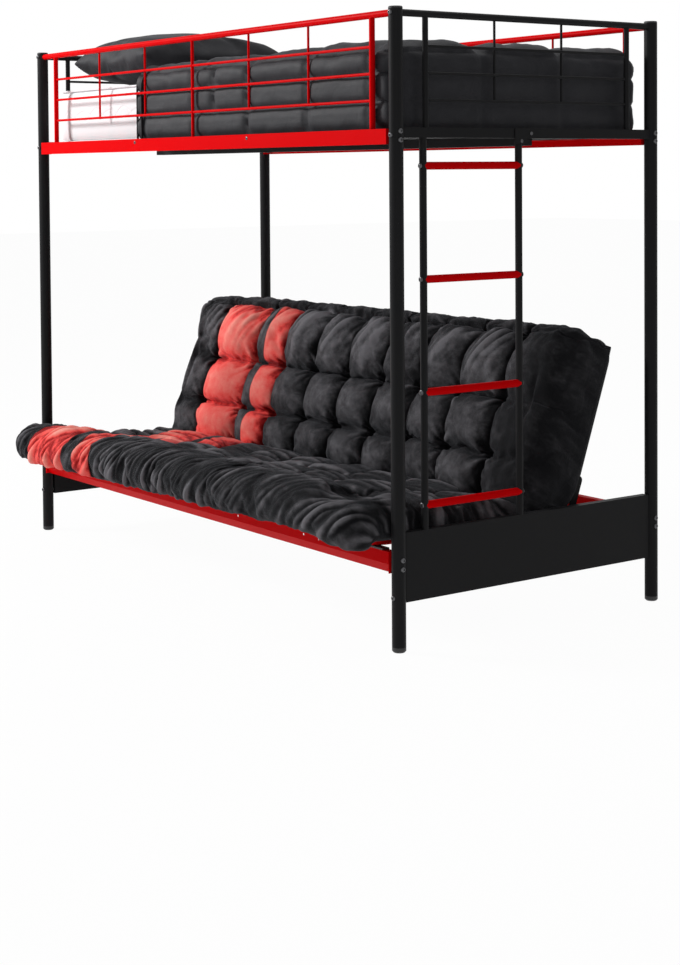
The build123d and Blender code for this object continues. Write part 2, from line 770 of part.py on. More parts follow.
def back_deck():
    # Black U tube with rounded top corners, cross tubes and slats, hung on two crank plates
    side_x = crank_x - deck_r
    nodes["back_deck_tube"] = [tilted(bent_tube(side_x, back_start, back_length))]
    rows = (back_cross_up, (back_cross_up + back_length) / 2)
    crosses, ends = [], []
    for y in rows:
        piece = tube((-side_x, y, 0), (side_x, y, 0), deck_d, tube_wall)
        for out in (-1, 1):
            piece -= bar((out * side_x, y - deck_d, 0), (out * side_x, y + deck_d, 0), deck_d)
        crosses.append(tilted(piece))
    nodes["back_cross_tubes"] = crosses
    for y in (*rows, back_length):
        ends.append(bar((-side_x, y, 0), (side_x, y, 0), deck_d))
    slats = []
    for x in slat_places():
        for low, high in ((0, 1), (1, 2)):
            span = (*rows, back_length)
            piece = block((x - deck_slat_w / 2, span[low], -deck_slat_h / 2),
                          (x + deck_slat_w / 2, span[high], deck_slat_h / 2))
            slats.append(tilted(piece - ends[low] - ends[high]))
    nodes["back_slats"] = slats
    nodes["crank_plates"] = both_ends(crank())
    y, z = crank_pin_at(0)
    nodes["crank_pins"] = both_ends(bar((crank_x, y, z), (pin_end, y, z), pin_d))
    nodes["crank_bushes"] = both_ends(bush(y, z))


def columns():
    # Column lines of the sewn grid: a plain band, the wide stripe, even puffs and a plain right end
    last = futon_right - plain_right
    lines = [last - tuft_pitch * step for step in range(tuft_columns, -1, -1)]
    return [futon_left, lines[0] - wide_stripe, *lines, futon_right]


def puff(x0, x1, y0, y1, low, valley, rise):
    # One puff: a block under a dome that just reaches valley at the cell's corners
    half = math.hypot(x1 - x0, y1 - y0) / 2
    radius = (half ** 2 + rise ** 2) / (2 * rise)
    cell = block((x0, y0, low), (x1, y1, valley + rise + overrun))
    dome = Pos((x0 + x1) / 2, (y0 + y1) / 2, valley + rise - radius) * Sphere(radius)
    return cell & dome


def puff_grid(lines_x, lines_y, low, valley, rise):
    # Neighbouring puffs meet in sewn valleys
    cells = [puff(x0, x1, y0, y1, low, valley, rise)
             for x0, x1 in zip(lines_x, lines_x[1:]) for y0, y1 in zip(lines_y, lines_y[1:])]
    return cells[0].fuse(*cells[1:])


def side_outline(points, left, right):
    # A solid of the futon's own section, drawn in Y and Z and run along X
    face = make_face(Polyline(*[(left, y, z) for y, z in points], close=True))
    return extrude(face, right - left, dir=(1, 0, 0))


def above_split():
    # The room over the line on which the back half rests on the thin rear of the seat half
    low = seat_top_z + soft_gap
    roof = crease_z + back_length
    slope = (crease_z - low) / (split_y - crease_y)
    front_z = crease_z + slope * (crease_y - seat_reach_y)
    return side_outline([(seat_reach_y, front_z), (split_y, low), (rail_face, low), (rail_face, roof),
                         (seat_reach_y, roof)], lobe_left, futon_right + overrun)


def back_futon():
    # Back half of the futon: rows of puffs between rounded ends, resting on the seat's thin rear
    low = deck_r + soft_gap
    front = low + back_valley + back_puff
    foot = -back_valley
    heights = [foot, *[back_soft_length * share for share in back_row_shares], back_soft_length]
    grid = puff_grid(columns(), heights, low, low + back_valley, back_puff)
    envelope = block((futon_left, foot, low), (futon_right, back_soft_length, front + overrun))
    tops = envelope.edges().filter_by(Axis.X).group_by(Axis.Y)[-1].sort_by(Axis.Z)
    envelope = fillet(tops[0], back_rear_round)
    tops = envelope.edges().filter_by(Axis.X).sort_by(lambda edge: edge.center().Y + edge.center().Z)
    envelope = fillet(tops[-1], back_front_round)
    return tilted(grid & envelope) & (Pos(0, 0, soft_gap) * above_split())


def seat_futon():
    # Seat half of the futon: low puffs that fall back to the crease, behind a rolled front edge
    low = seat_top_z + soft_gap
    high = low + seat_thick
    front = seat_reach_y + seat_roll_r
    fall = math.atan2(high - crease_z, crease_y - front)
    reach = (split_y - front) / math.cos(fall)
    lines_y = [reach * step / seat_rows for step in range(seat_rows + 1)]
    plane = Plane(origin=(0, front, high), x_dir=(1, 0, 0), z_dir=(0, math.sin(fall), math.cos(fall)))
    grid = plane * puff_grid(columns(), lines_y, -2 * seat_thick, 0, seat_puff)
    body = side_outline([(front, low), (split_y, low), (split_y, high), (front, high + seat_thick)],
                        futon_left, futon_right)
    made = grid & body
    made -= above_split()
    made += front_roll(futon_left, futon_right, front)
    return made + front_roll(lobe_left, futon_left, lobe_back_y)


def front_roll(left, right, inner):
    # The futon's rolled front edge, hanging a little below the deck
    low = seat_top_z + soft_gap
    high = low + seat_thick
    deck_front = seat_front_y - deck_r - soft_gap
    middle_z = (seat_droop_z + high) / 2
    outline = Wire([
        Edge.make_line((left, inner, low), (left, deck_front, low)),
        Edge.make_line((left, deck_front, low), (left, seat_lip_y, seat_droop_z)),
        Edge.make_three_point_arc((left, seat_lip_y, seat_droop_z), (left, seat_reach_y, middle_z),
                                  (left, seat_lip_y, high)),
        Edge.make_line((left, seat_lip_y, high), (left, inner, high)),
        Edge.make_line((left, inner, high), (left, inner, low)),
    ])
    return extrude(make_face(outline), right - left, dir=(1, 0, 0))


def add_bedding():
    # Mattress, quilt and pillow on the bunk
    low = base_top + soft_gap
    top = low + mattress_h
    body = Pos(0, 0, low) * extrude(RectangleRounded(mattress_l, mattress_w, mattress_round), mattress_h)
    edges = body.edges().group_by(Axis.Z)
    nodes["mattress"] = [fillet(list(edges[0]) + list(edges[-1]), mattress_edge)]
    nodes["quilt"] = [quilt(top)]
    nodes["pillow"] = [pillow(top)]


def bulged(reach, rise, count, start, end):
    # Points of a row of shallow arcs, as three-point arcs from start to end
    step = (end - start) / count
    return [(start + step * n, start + step * (n + 0.5), start + step * (n + 1), reach, reach + rise)
            for n in range(count)]


def quilt_section(x, grow):
    # The quilt's outline across the bed, puffed out by grow between its sewn lines
    inner = mattress_w / 2 + soft_gap
    roof = base_top + mattress_h + 2 * soft_gap
    side = mattress_w / 2 + quilt_cover - quilt_side_puff
    top = roof + quilt_top
    shoulder = roof
    edges = []
    last = (x, -side, quilt_hem_z)
    for z0, zm, z1, reach, out in bulged(side, quilt_side_puff * grow, quilt_rows, quilt_hem_z, shoulder):
        edges.append(bow((x, -reach, z0), (x, -out, zm), (x, -reach, z1)))
        last = (x, -reach, z1)
    corner = (x, -side + quilt_top, top)
    bend_y = side - quilt_top * (1 - math.sqrt(0.5))
    bend_z = roof + quilt_top * math.sqrt(0.5)
    edges.append(bow(last, (x, -bend_y, bend_z), corner))
    span = side - quilt_top
    for y0, ym, y1, reach, out in bulged(top, quilt_puff * grow, quilt_rows, -span, span):
        edges.append(bow((x, y0, reach), (x, ym, out), (x, y1, reach)))
    edges.append(bow((x, span, top), (x, bend_y, bend_z), (x, side, shoulder)))
    for z0, zm, z1, reach, out in bulged(side, quilt_side_puff * grow, quilt_rows, shoulder, quilt_hem_z):
        edges.append(bow((x, reach, z0), (x, out, zm), (x, reach, z1)))
    points = [(x, side, quilt_hem_z), (x, inner, quilt_hem_z), (x, inner, roof), (x, -inner, roof),
              (x, -inner, quilt_hem_z), (x, -side, quilt_hem_z)]
    edges += [Edge.make_line(a, b) for a, b in zip(points, points[1:])]
    return make_face(Wire(edges))


def bow(a, middle, b):
    # A shallow arc, or a straight line where it has no rise
    flat = all(abs((p + q) / 2 - m) < soft_gap / 10 for p, q, m in zip(a, b, middle))
    return Edge.make_line(a, b) if flat else Edge.make_three_point_arc(a, middle, b)


def quilt(mattress_top):
    # A stuffed quilt over the ladder end: sewn columns on a thinner core, and an end skirt
    right = mattress_l / 2 + soft_gap
    length = right - quilt_left
    made = extrude(quilt_section(quilt_left, 0), length, dir=(1, 0, 0))
    pitch = length / quilt_columns
    pads = []
    for step in range(quilt_columns):
        start = quilt_left + step * pitch + quilt_seam / 2
        pads.append(extrude(quilt_section(start, 1), pitch - quilt_seam, dir=(1, 0, 0)))
    return made.fuse(*pads, end_skirt(right, mattress_top))


def end_skirt(start, mattress_top):
    # The quilt hanging over the ladder end, puffed in rows like its sides
    half = mattress_w / 2
    reach = quilt_end_reach - quilt_side_puff
    top = mattress_top + quilt_top / 2
    edges = [bow((x0, -half, z0), (x1, -half, zm), (x0, -half, z1))
             for z0, zm, z1, x0, x1 in bulged(reach, quilt_side_puff, quilt_rows, quilt_hem_z, top)]
    points = [(reach, -half, top), (start, -half, top), (start, -half, quilt_hem_z),
              (reach, -half, quilt_hem_z)]
    edges += [Edge.make_line(a, b) for a, b in zip(points, points[1:])]
    return extrude(make_face(Wire(edges)), 2 * half, dir=(0, 1, 0))


def pillow(mattress_top):
    # A stuffed pillow with pointed corners and drawn-in sides, leaning on the left guard
    half_l, half_w = pillow_l / 2, pillow_w / 2
    corners = [(-half_w, -half_l), (half_w, -half_l), (half_w, half_l), (-half_w, half_l)]
    middles = [(0, -half_l + pillow_draw), (half_w - pillow_draw, 0), (0, half_l - pillow_draw),
               (-half_w + pillow_draw, 0)]
    edges = [Edge.make_three_point_arc((*a, 0), (*m, 0), (*b, 0))
             for a, m, b in zip(corners, middles, corners[1:] + corners[:1])]
    core = extrude(make_face(Wire(edges)), pillow_t, both=True)
    half = math.hypot(half_l, half_w) + pillow_corner
    rise = pillow_t / 2
    radius = (half ** 2 + rise ** 2) / (2 * rise)
    for side in (-1, 1):
        core &= Pos(0, 0, side * (rise - radius)) * Sphere(radius)
    leaning = Rot(0, pillow_tilt, 0) * core
    lift = soft_gap - leaning.bounding_box().min.Z
    return Pos(pillow_x, pillow_y, mattress_top + lift) * leaning


def add_frame():
    # Posts, rails, panels and the bunk base
    for x, side_name in ((-end_x, "left"), (end_x, "right")):
        for y, face_name in ((-side_y, "front"), (side_y, "rear")):
            nodes[f"post_{face_name}_{side_name}"] = [post(x, y)]
        out = math.copysign(1, x)
        nodes[f"cross_rail_{side_name}"] = [cross_rail(out)]
        nodes[f"end_panel_{side_name}"] = [end_panel(out)]
    nodes["top_caps"] = [top_cap(x, y) for x, y in four_posts()]
    nodes["foot_caps"] = [foot_cap(x, y) for x, y in four_posts()]
    for side, name in ((-1, "front"), (1, "rear")):
        nodes[f"upper_rail_{name}"] = [upper_rail(side)]
        nodes[f"lower_rail_{name}"] = [lower_rail(side)]
    right, left = both_ends(guide_plate())
    nodes["guide_plate_right"] = [right]
    nodes["guide_plate_left"] = [left]
    nodes["base_slats"] = base_slats()
    nodes["base_cross_bars"] = cross_bars()
    nodes["base_strap"] = [tie_strap()]
    nodes["glide_pads"] = glide_pads()
    nodes["side_rail_bolts"] = side_bolts(side_bolt_z + lower_bolt_z)
    nodes["end_bolts"] = end_bolts()
    nodes["cross_bar_bolts"] = cross_bar_bolts()


def build():
    add_frame()
    add_guards()
    ladder()
    seat_deck()
    back_deck()
    nodes["seat_futon"] = [seat_futon()]
    nodes["back_futon"] = [back_futon()]
    add_bedding()


def write():
    # Each node is moved so that the middle of the bed's plan is the origin
    os.makedirs("parts", exist_ok=True)
    for name, solids in nodes.items():
        placed = [Pos(0, plan_shift, 0) * solid for solid in solids]
        shape = placed[0] if len(placed) == 1 else Compound(placed)
        export_step(shape, f"parts/{name}.step")
    print("nodes", len(nodes), "plan shift", plan_shift)
    print("hinge", hinge_y + plan_shift, hinge_z, "fold per metre", ratio * 1000)


build()
write()
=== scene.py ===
import bpy
import math
import numpy as np
from mathutils import Matrix, Vector, noise


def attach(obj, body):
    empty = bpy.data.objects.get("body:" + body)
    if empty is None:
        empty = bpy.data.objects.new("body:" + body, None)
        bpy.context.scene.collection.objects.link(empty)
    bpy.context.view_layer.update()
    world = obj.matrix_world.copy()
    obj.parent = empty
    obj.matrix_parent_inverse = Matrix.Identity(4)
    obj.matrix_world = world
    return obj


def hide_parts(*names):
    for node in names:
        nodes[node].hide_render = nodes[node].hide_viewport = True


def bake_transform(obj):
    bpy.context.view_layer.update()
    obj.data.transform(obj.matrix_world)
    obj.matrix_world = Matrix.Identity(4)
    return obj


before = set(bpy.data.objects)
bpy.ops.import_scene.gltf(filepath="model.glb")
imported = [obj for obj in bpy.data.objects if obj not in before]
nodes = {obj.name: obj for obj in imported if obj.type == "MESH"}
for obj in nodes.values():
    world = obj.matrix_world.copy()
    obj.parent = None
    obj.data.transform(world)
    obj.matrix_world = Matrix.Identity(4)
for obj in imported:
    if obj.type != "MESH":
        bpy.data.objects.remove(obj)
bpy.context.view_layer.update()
scene = bpy.context.scene
scene.view_settings.view_transform = "Standard"


# Black steel: posts, end guards and rails, end panels, slats, ladder uprights and the back's deck.
# Round and flat tube and folded sheet, sprayed with black powder and baked, which leaves a satin
# skin with a fine orange peel.
class Socket:
    # One output of a shader node; a sum or product of sockets adds its Math node
    def __init__(self, tree, link=None):
        self.tree = tree
        self.link = link

    def node(self, kind, settings={}, sockets={}, output=0):
        made = self.tree.nodes.new("ShaderNode" + kind)
        for name, value in settings.items():
            if name == "stops":
                stops = made.color_ramp.elements
                stops.remove(stops[1])
                stops[0].position, stops[0].color = value[0]
                for place, colour in value[1:]:
                    stops.new(place).color = colour
            else:
                setattr(made, name, value)
        for name, value in sockets.items():
            if isinstance(value, Socket):
                self.tree.links.new(value.link, made.inputs[name])
            else:
                made.inputs[name].default_value = value
        return Socket(self.tree, made.outputs[output])

    def reckon(self, operation, *terms):
        return self.node("Math", {"operation": operation}, dict(enumerate(terms)))

    def __add__(self, other):
        return self.reckon("ADD", self, other)

    def __mul__(self, other):
        return self.reckon("MULTIPLY", self, other)

    def __sub__(self, other):
        return self.reckon("SUBTRACT", self, other)

    def __rsub__(self, other):
        return self.reckon("SUBTRACT", other, self)

    def __gt__(self, other):
        return self.reckon("GREATER_THAN", self, other)

    def __lt__(self, other):
        return self.reckon("LESS_THAN", self, other)

    __radd__ = __add__
    __rmul__ = __mul__


def new_finish(name, fixed):
    # A material whose plain numbers and colours are set on the shader's own sockets
    material = bpy.data.materials.new(name)
    material.use_nodes = True
    shader = material.node_tree.nodes["Principled BSDF"]
    for socket, value in fixed.items():
        shader.inputs[socket].default_value = value
    return material, shader, Socket(material.node_tree)


def feed(shader, values):
    for name, value in values.items():
        shader.id_data.links.new(value.link, shader.inputs[name])


def blend_colours(start, share, first, second):
    return start.node("Mix", {"data_type": "RGBA"}, {0: share, 6: first, 7: second}, output=2)


def steel_skin(name, colour, worn, rough, peel, gloss):
    # Sprayed steel: orange peel in the bump, cloudy gloss, and paler rubbed patches
    material, shader, start = new_finish(name, {"Specular IOR Level": gloss})
    place = start.node("TexCoord", output=3)
    grain = start.node("TexNoise", {}, {"Vector": place, "Scale": 900.0, "Detail": 2.0})
    cloud = start.node("TexNoise", {}, {"Vector": place, "Scale": 6.0, "Detail": 4.0})
    rub = start.node("TexNoise", {}, {"Vector": place, "Scale": 38.0, "Detail": 6.0, "Roughness": 0.7})
    rubbed = start.node("ValToRGB", {"stops": [(0.6, (0, 0, 0, 1)), (0.8, (1, 1, 1, 1))]}, {"Fac": rub})
    bump = start.node("Bump", {}, {"Strength": peel, "Distance": 0.0004, "Height": grain})
    feed(shader, {
        "Base Color": blend_colours(start, rubbed * 0.35 + cloud * 0.25, colour, worn),
        "Roughness": cloud * 0.16 + (rough - 0.08) + grain * 0.05,
        "Normal": bump,
    })
    return material


def dress(material, *names):
    for name in names:
        nodes[name].data.materials.clear()
        nodes[name].data.materials.append(material)


ends, faces = ("left", "right"), ("front", "rear")
guard_parts = ("top_rail", "uprights", "rods")
black_coat = steel_skin("black_powder_coat", colour=(0.0140, 0.0140, 0.0148, 1),
                        worn=(0.022, 0.022, 0.0235, 1), rough=0.4, peel=0.2, gloss=0.07)
dress(black_coat, *[f"post_{face}_{end}" for face in faces for end in ends],
      *[f"{kind}_{end}" for kind in ("cross_rail", "end_panel", "guide_plate") for end in ends],
      *[f"{end}_end_guard_{kind}" for end in ends for kind in guard_parts],
      "back_deck_tube", "back_cross_tubes", "back_slats", "crank_plates",
      "base_slats", "base_cross_bars", "base_strap", "ladder_uprights", "ladder_bracket")


# Red steel: side rails, long guards, rungs and the sliding deck of the sofa.
# The same tube and sheet in a red enamel that shades darker where it lies thin.
red_enamel = steel_skin("red_enamel", colour=(0.76, 0.0, 0.002, 1), worn=(0.62, 0.0, 0.001, 1),
                        rough=0.36, peel=0.1, gloss=0.02)
dress(red_enamel, *[f"{level}_rail_{face}" for level in ("upper", "lower") for face in faces],
      *[f"{face}_guard_{kind}" for face in faces for kind in guard_parts],
      "ladder_rungs", "seat_deck_tube", "seat_cross_tube", "seat_slats")


# Caps and feet: black polythene plugs pressed into the posts.
# Moulded with a fine leathery grain, duller than the steel and lightly scuffed.
cap_plastic, cap_shader, start = new_finish("black_plastic", {"IOR": 1.5})
place = start.node("TexCoord", output=3)
pits = start.node("TexVoronoi", {}, {"Vector": place, "Scale": 700.0})
scuff = start.node("TexNoise", {}, {"Vector": place, "Scale": 60.0, "Detail": 5.0})
feed(cap_shader, {
    "Base Color": blend_colours(start, scuff * 0.5, (0.011, 0.011, 0.012, 1), (0.03, 0.03, 0.03, 1)),
    "Roughness": scuff * 0.3 + 0.38,
    "Normal": start.node("Bump", {}, {"Strength": 0.3, "Distance": 0.0004, "Height": pits}),
})
dress(cap_plastic, "top_caps", "foot_caps")


# Glides and pins of the sofa's mechanism: turned steel pins in moulded nylon bushes and pads.
# The nylon is black and rubbed in streaks; the pins keep their turning rings.
nylon, nylon_shader, start = new_finish("nylon", {"IOR": 1.53})
place = start.node("TexCoord", output=3)
streak = start.node("Mapping", {}, {"Vector": place, "Scale": (1.0, 9.0, 9.0)})
rub = start.node("TexNoise", {}, {"Vector": streak, "Scale": 30.0, "Detail": 5.0})
feed(nylon_shader, {
    "Base Color": blend_colours(start, rub, (0.022, 0.022, 0.024, 1), (0.045, 0.045, 0.047, 1)),
    "Roughness": rub * 0.3 + 0.3,
    "Normal": start.node("Bump", {}, {"Strength": 0.2, "Distance": 0.0005, "Height": rub}),
})
dress(nylon, "glide_pads", "seat_bushes", "crank_bushes")
pin_steel, pin_shader, start = new_finish("bright_pin", {"Metallic": 1.0})
place = start.node("TexCoord", output=3)
rings = start.node("TexWave", {"bands_direction": "X"},
                   {"Vector": place, "Scale": 500.0, "Distortion": 1.0})
feed(pin_shader, {
    "Base Color": blend_colours(start, rings * 0.3, (0.56, 0.56, 0.57, 1), (0.4, 0.4, 0.41, 1)),
    "Roughness": rings * 0.15 + 0.25,
    "Normal": start.node("Bump", {}, {"Strength": 0.2, "Distance": 0.0002, "Height": rings}),
})
dress(pin_steel, "seat_pins", "crank_pins")


# Bolts: blackened domed heads with a key socket, a shank through the post, and a nut where one is
# fitted. One is turned from a cylinder, and its copies are put at each hole of the four groups.
bolt_black, bolt_shader, start = new_finish("black_fastener", {"Metallic": 0.85})
place = start.node("TexCoord", output=3)
rub = start.node("TexNoise", {}, {"Vector": place, "Scale": 260.0, "Detail": 4.0})
feed(bolt_shader, {
    "Base Color": blend_colours(start, rub, (0.05, 0.05, 0.055, 1), (0.16, 0.16, 0.165, 1)),
    "Roughness": rub * 0.25 + 0.22,
    "Normal": start.node("Bump", {}, {"Strength": 0.15, "Distance": 0.0003, "Height": rub}),
})


def clear_choice():
    bpy.ops.object.select_all(action="DESELECT")


def select_faces(piece, wanted):
    # Picks faces in edit mode by their middle and normal
    bpy.ops.object.mode_set(mode="OBJECT")
    for face in piece.data.polygons:
        face.select = bool(wanted(face.center, face.normal))
    for group in (piece.data.vertices, piece.data.edges):
        for part in group:
            part.select = False
    bpy.ops.object.mode_set(mode="EDIT")
    bpy.ops.mesh.select_mode(type="FACE")


def push(step, scale=(1, 1, 1)):
    bpy.ops.mesh.extrude_region_move(TRANSFORM_OT_translate={"value": step})
    bpy.ops.transform.resize(value=scale)


def settle(piece, material, angle=35):
    # Leaves edit mode with outward faces, smooth under the angle, in its own finish
    bpy.ops.object.mode_set(mode="EDIT")
    bpy.ops.mesh.select_all(action="SELECT")
    bpy.ops.mesh.normals_make_consistent(inside=False)
    bpy.ops.object.mode_set(mode="OBJECT")
    bpy.ops.object.shade_smooth_by_angle(angle=math.radians(angle))
    piece.data.materials.clear()
    piece.data.materials.append(material)


head_r, head_rim = 0.007, 0.0022
dome_steps = ((0.0013, 0.9), (0.0009, 0.82), (0.0004, 0.75))
key_wall, key_depth, key_taper = 0.0008, 0.0022, 0.86
shank_step, shank_length = 0.003, 0.05

# How squarely a face points up or down to be picked, and how near the seat an underside lies
facing, seat_band = 0.9, 0.0003
clear_choice()
bpy.ops.mesh.primitive_cylinder_add(vertices=24, radius=head_r, depth=head_rim, location=(0, 0, head_rim / 2))
head = bpy.context.object
select_faces(head, lambda middle, normal: normal.z > facing)
for rise, shrink in dome_steps:
    push((0, 0, rise), (shrink, shrink, 1))
bpy.ops.mesh.inset(thickness=key_wall)
push((0, 0, -key_depth), (key_taper, key_taper, 1))
select_faces(head, lambda middle, normal: normal.z < -facing and middle.z < seat_band)
bpy.ops.mesh.inset(thickness=shank_step)
push((0, 0, -shank_length))
settle(head, bolt_black)

nut_r, nut_depth, nut_edge = 0.0075, 0.006, 0.0008
clear_choice()
bpy.ops.mesh.primitive_cylinder_add(vertices=6, radius=nut_r, depth=nut_depth,
                                    location=(0, 0, -nut_depth / 2))
nut = bpy.context.object
bpy.ops.object.mode_set(mode="EDIT")
bpy.ops.mesh.select_all(action="SELECT")
bpy.ops.mesh.bevel(offset=nut_edge, segments=1, affect="EDGES")
settle(nut, bolt_black)


def copies(model, places, stretch=(1, 1, 1)):
    # Copies of a model, its Z turned to each heading, each with its own mesh
    made = []
    for spot, heading in places:
        turn = Vector(heading).to_track_quat("Z", "Y").to_matrix().to_4x4()
        twin = bpy.data.objects.new(model.name, model.data.copy())
        twin.data.transform(Matrix.Translation(spot) @ turn @ Matrix.Diagonal((*stretch, 1)))
        scene.collection.objects.link(twin)
        made.append(twin)
    return made


def choose(*pieces):
    clear_choice()
    for piece in pieces:
        piece.select_set(True)
    bpy.context.view_layer.objects.active = pieces[0]


def join_as(name, parts, body, *replaced):
    choose(*parts)
    bpy.ops.object.join()
    parts[0].name = name
    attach(parts[0], body)
    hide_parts(*replaced)
    return parts[0]


middle_y = 0.0505
post_x, post_y, post_r = 1.0, 0.475, 0.019
side_levels, end_levels = (1.374, 1.351, 0.246, 0.222), (1.684, 1.364, 0.145)
foot_level = end_levels[-1:]
side_nut_depth, end_nut_depth = 0.022, 0.0205
cross_bar_x, cross_bar_level = 0.325, (1.3695,)


def at_corners(x_reach, y_reach, levels, sideways):
    # The holes at all four corners, whose bolts point sideways or to the front and rear
    return [((x * x_reach, y * y_reach + middle_y, z), (x, 0, 0) if sideways else (0, y, 0))
            for x in (-1, 1) for y in (-1, 1) for z in levels]


seats = at_corners(post_x + post_r, post_y, side_levels, True)
threads = at_corners(post_x - side_nut_depth, post_y, side_levels, True)
join_as("side_bolt_set", copies(head, seats) + copies(nut, threads), "frame", "side_rail_bolts")
seats = at_corners(post_x, post_y + post_r, end_levels, False)
threads = at_corners(post_x, post_y - end_nut_depth, foot_level, False)
join_as("end_bolt_set", copies(head, seats, (1, 1, 0.94)) + copies(nut, threads), "frame", "end_bolts")
seats = at_corners(cross_bar_x, post_y + post_r, cross_bar_level, False)
join_as("cross_bar_bolt_set", copies(head, seats, (0.75, 0.75, 0.4)), "frame", "cross_bar_bolts")

rung_levels = [0.380 + 0.301 * k for k in range(4)]
ladder_sides = ((-0.385, -1), (-0.045, 1))
upright_half = 0.01
seats = [((post_x, y + middle_y + side * upright_half, z), (0, side, 0))
         for z in rung_levels for y, side in ladder_sides]
join_as("ladder_bolt_set", copies(head, seats, (1.07, 1.07, 0.66)), "frame", "ladder_bolts")


# Ladder bracket screws: two cross-slotted pan heads. A flattened dome is bisected along both slots'
# edges, and the strips between them are sunk, deep enough to read as a dark cross.
screw_r, dome_flat = 0.005, 0.5
slot_half, slot_middle, slot_reach, slot_depth = 0.0006, 0.0005, 0.0036, 0.0011
tip_step, tip_length = 0.0024, 0.003
clear_choice()
bpy.ops.mesh.primitive_uv_sphere_add(segments=24, ring_count=12, radius=screw_r, location=(0, 0, 0))
screw = bpy.context.object
bpy.ops.object.mode_set(mode="EDIT")
bpy.ops.mesh.select_all(action="SELECT")
bpy.ops.mesh.bisect(plane_co=(0, 0, 0), plane_no=(0, 0, 1), clear_inner=True, use_fill=True)
bpy.ops.mesh.select_all(action="SELECT")
bpy.ops.transform.resize(value=(1, 1, dome_flat))
for normal in ((1, 0, 0), (0, 1, 0)):
    for side in (-slot_half, slot_half):
        bpy.ops.mesh.select_all(action="SELECT")
        bpy.ops.mesh.bisect(plane_co=[n * side for n in normal], plane_no=normal)
select_faces(screw, lambda middle, normal: normal.z > 0.3 and math.hypot(middle.x, middle.y) < slot_reach
             and min(abs(middle.x), abs(middle.y)) < slot_middle)
push((0, 0, -slot_depth), (0.96, 0.96, 1))
select_faces(screw, lambda middle, normal: normal.z < -facing and middle.z < seat_band)
bpy.ops.mesh.inset(thickness=tip_step)
push((0, 0, -tip_length))
settle(screw, bolt_black)
bracket_x = 1.013
bracket_holes = ((-0.045, 1.3495), (-0.009, 1.3705))
seats = [((bracket_x, y + middle_y, z), (1, 0, 0)) for y, z in bracket_holes]
join_as("bracket_screw_set", copies(screw, seats), "frame", "bracket_screws")
for model in (head, nut, screw):
    bpy.data.objects.remove(model)


# Futon: one long mattress of cotton felt in a dyed cotton cover, tufted through in columns, with
# sewn-in coral stripes up to its top seam and a rolled front edge. It lies over both decks and folds at
# the crease. Its colour carries a painted highlight on the crowns of the puffs and painted shade down
# in the folds, with random wear mixed in.
def split_axes(start, vector):
    axes = start.node("SeparateXYZ", {}, {0: vector})
    return [Socket(axes.tree, output) for output in axes.link.node.outputs]


wide_stripe, narrow_stripe = (-0.808, -0.549), (-0.470, -0.384)
stripe_top, seam_half = 1.252, 0.0018
futon_cloth, cloth_shader, start = new_finish("futon_cloth", {
    "Sheen Weight": 0.16, "Sheen Roughness": 0.4, "Sheen Tint": (0.62, 0.64, 0.7, 1),
    "Specular IOR Level": 0.12})
flat = start.node("UVMap", {"uv_map": "Cloth"})
across_cover, up_cover = split_axes(start, flat)[:2]
place = start.node("TexCoord", output=3)
wobble = (start.node("TexNoise", {}, {"Vector": place, "Scale": 9.0, "Detail": 2.0}) - 0.5) * 0.008
line = across_cover + wobble
below_seam = (up_cover + wobble * 0.5) < stripe_top
wide, narrow = ((line > left) * (line < right) * below_seam for left, right in (wide_stripe, narrow_stripe))
seams = sum((start.reckon("ABSOLUTE", line - edge) < seam_half) for edge in (*wide_stripe, *narrow_stripe))
warp, weft = (start.node("TexWave", {"bands_direction": way}, {"Vector": flat, "Scale": 330.0})
              for way in "XY")
slub = start.node("TexNoise", {}, {"Vector": flat, "Scale": 45.0, "Detail": 6.0, "Roughness": 0.65})
wear = start.node("TexNoise", {}, {"Vector": place, "Scale": 7.0, "Detail": 3.0})
crumple = start.node("TexNoise", {}, {"Vector": place, "Scale": 26.0, "Detail": 5.0, "Roughness": 0.6,
                                      "Distortion": 0.6})
# The cover's stored value is painted light: painted highlight on crowns and ridges, painted shade in folds;
# random slub, wear and crumple noise is added to it
fade = start.node("Attribute", {"attribute_name": "fade"}, output=2)
fade = start.reckon("MAXIMUM", fade + (slub + wear + crumple - 1.5) * 0.5, 0.0)
# Grey and coral each run from painted shade in the folds to a painted highlight on the crowns
grey = blend_colours(start, fade * fade * 2.9, (0.004, 0.004, 0.005, 1), (0.140, 0.136, 0.147, 1))
coral = blend_colours(start, fade * 4.6, (0.34, 0.005, 0.005, 1), (0.95, 0.080, 0.070, 1))
coral = blend_colours(start, (fade - 0.20) * 1.7, coral, (0.99, 0.38, 0.31, 1))
cover = blend_colours(start, wide + narrow, grey, coral)
cover = blend_colours(start, start.reckon("MINIMUM", seams, 1.0) * 0.65, cover, (0.02, 0.004, 0.004, 1))
height = crumple * 0.8 + (warp + weft) * 0.05 + slub * 0.12 - seams * 0.3
feed(cloth_shader, {
    "Base Color": cover,
    "Roughness": slub * 0.12 + 0.78,
    "Normal": start.node("Bump", {}, {"Strength": 0.75, "Distance": 0.006, "Height": height}),
})

hinge_y, hinge_z = 0.205 + middle_y, 0.2825
lean = math.radians(70)


def on_back(up, out):
    # A place on the back: so far up its slope and so far out from its deck's plane
    return (hinge_y + up * math.cos(lean) - out * math.sin(lean),
            hinge_z + up * math.sin(lean) + out * math.cos(lean))


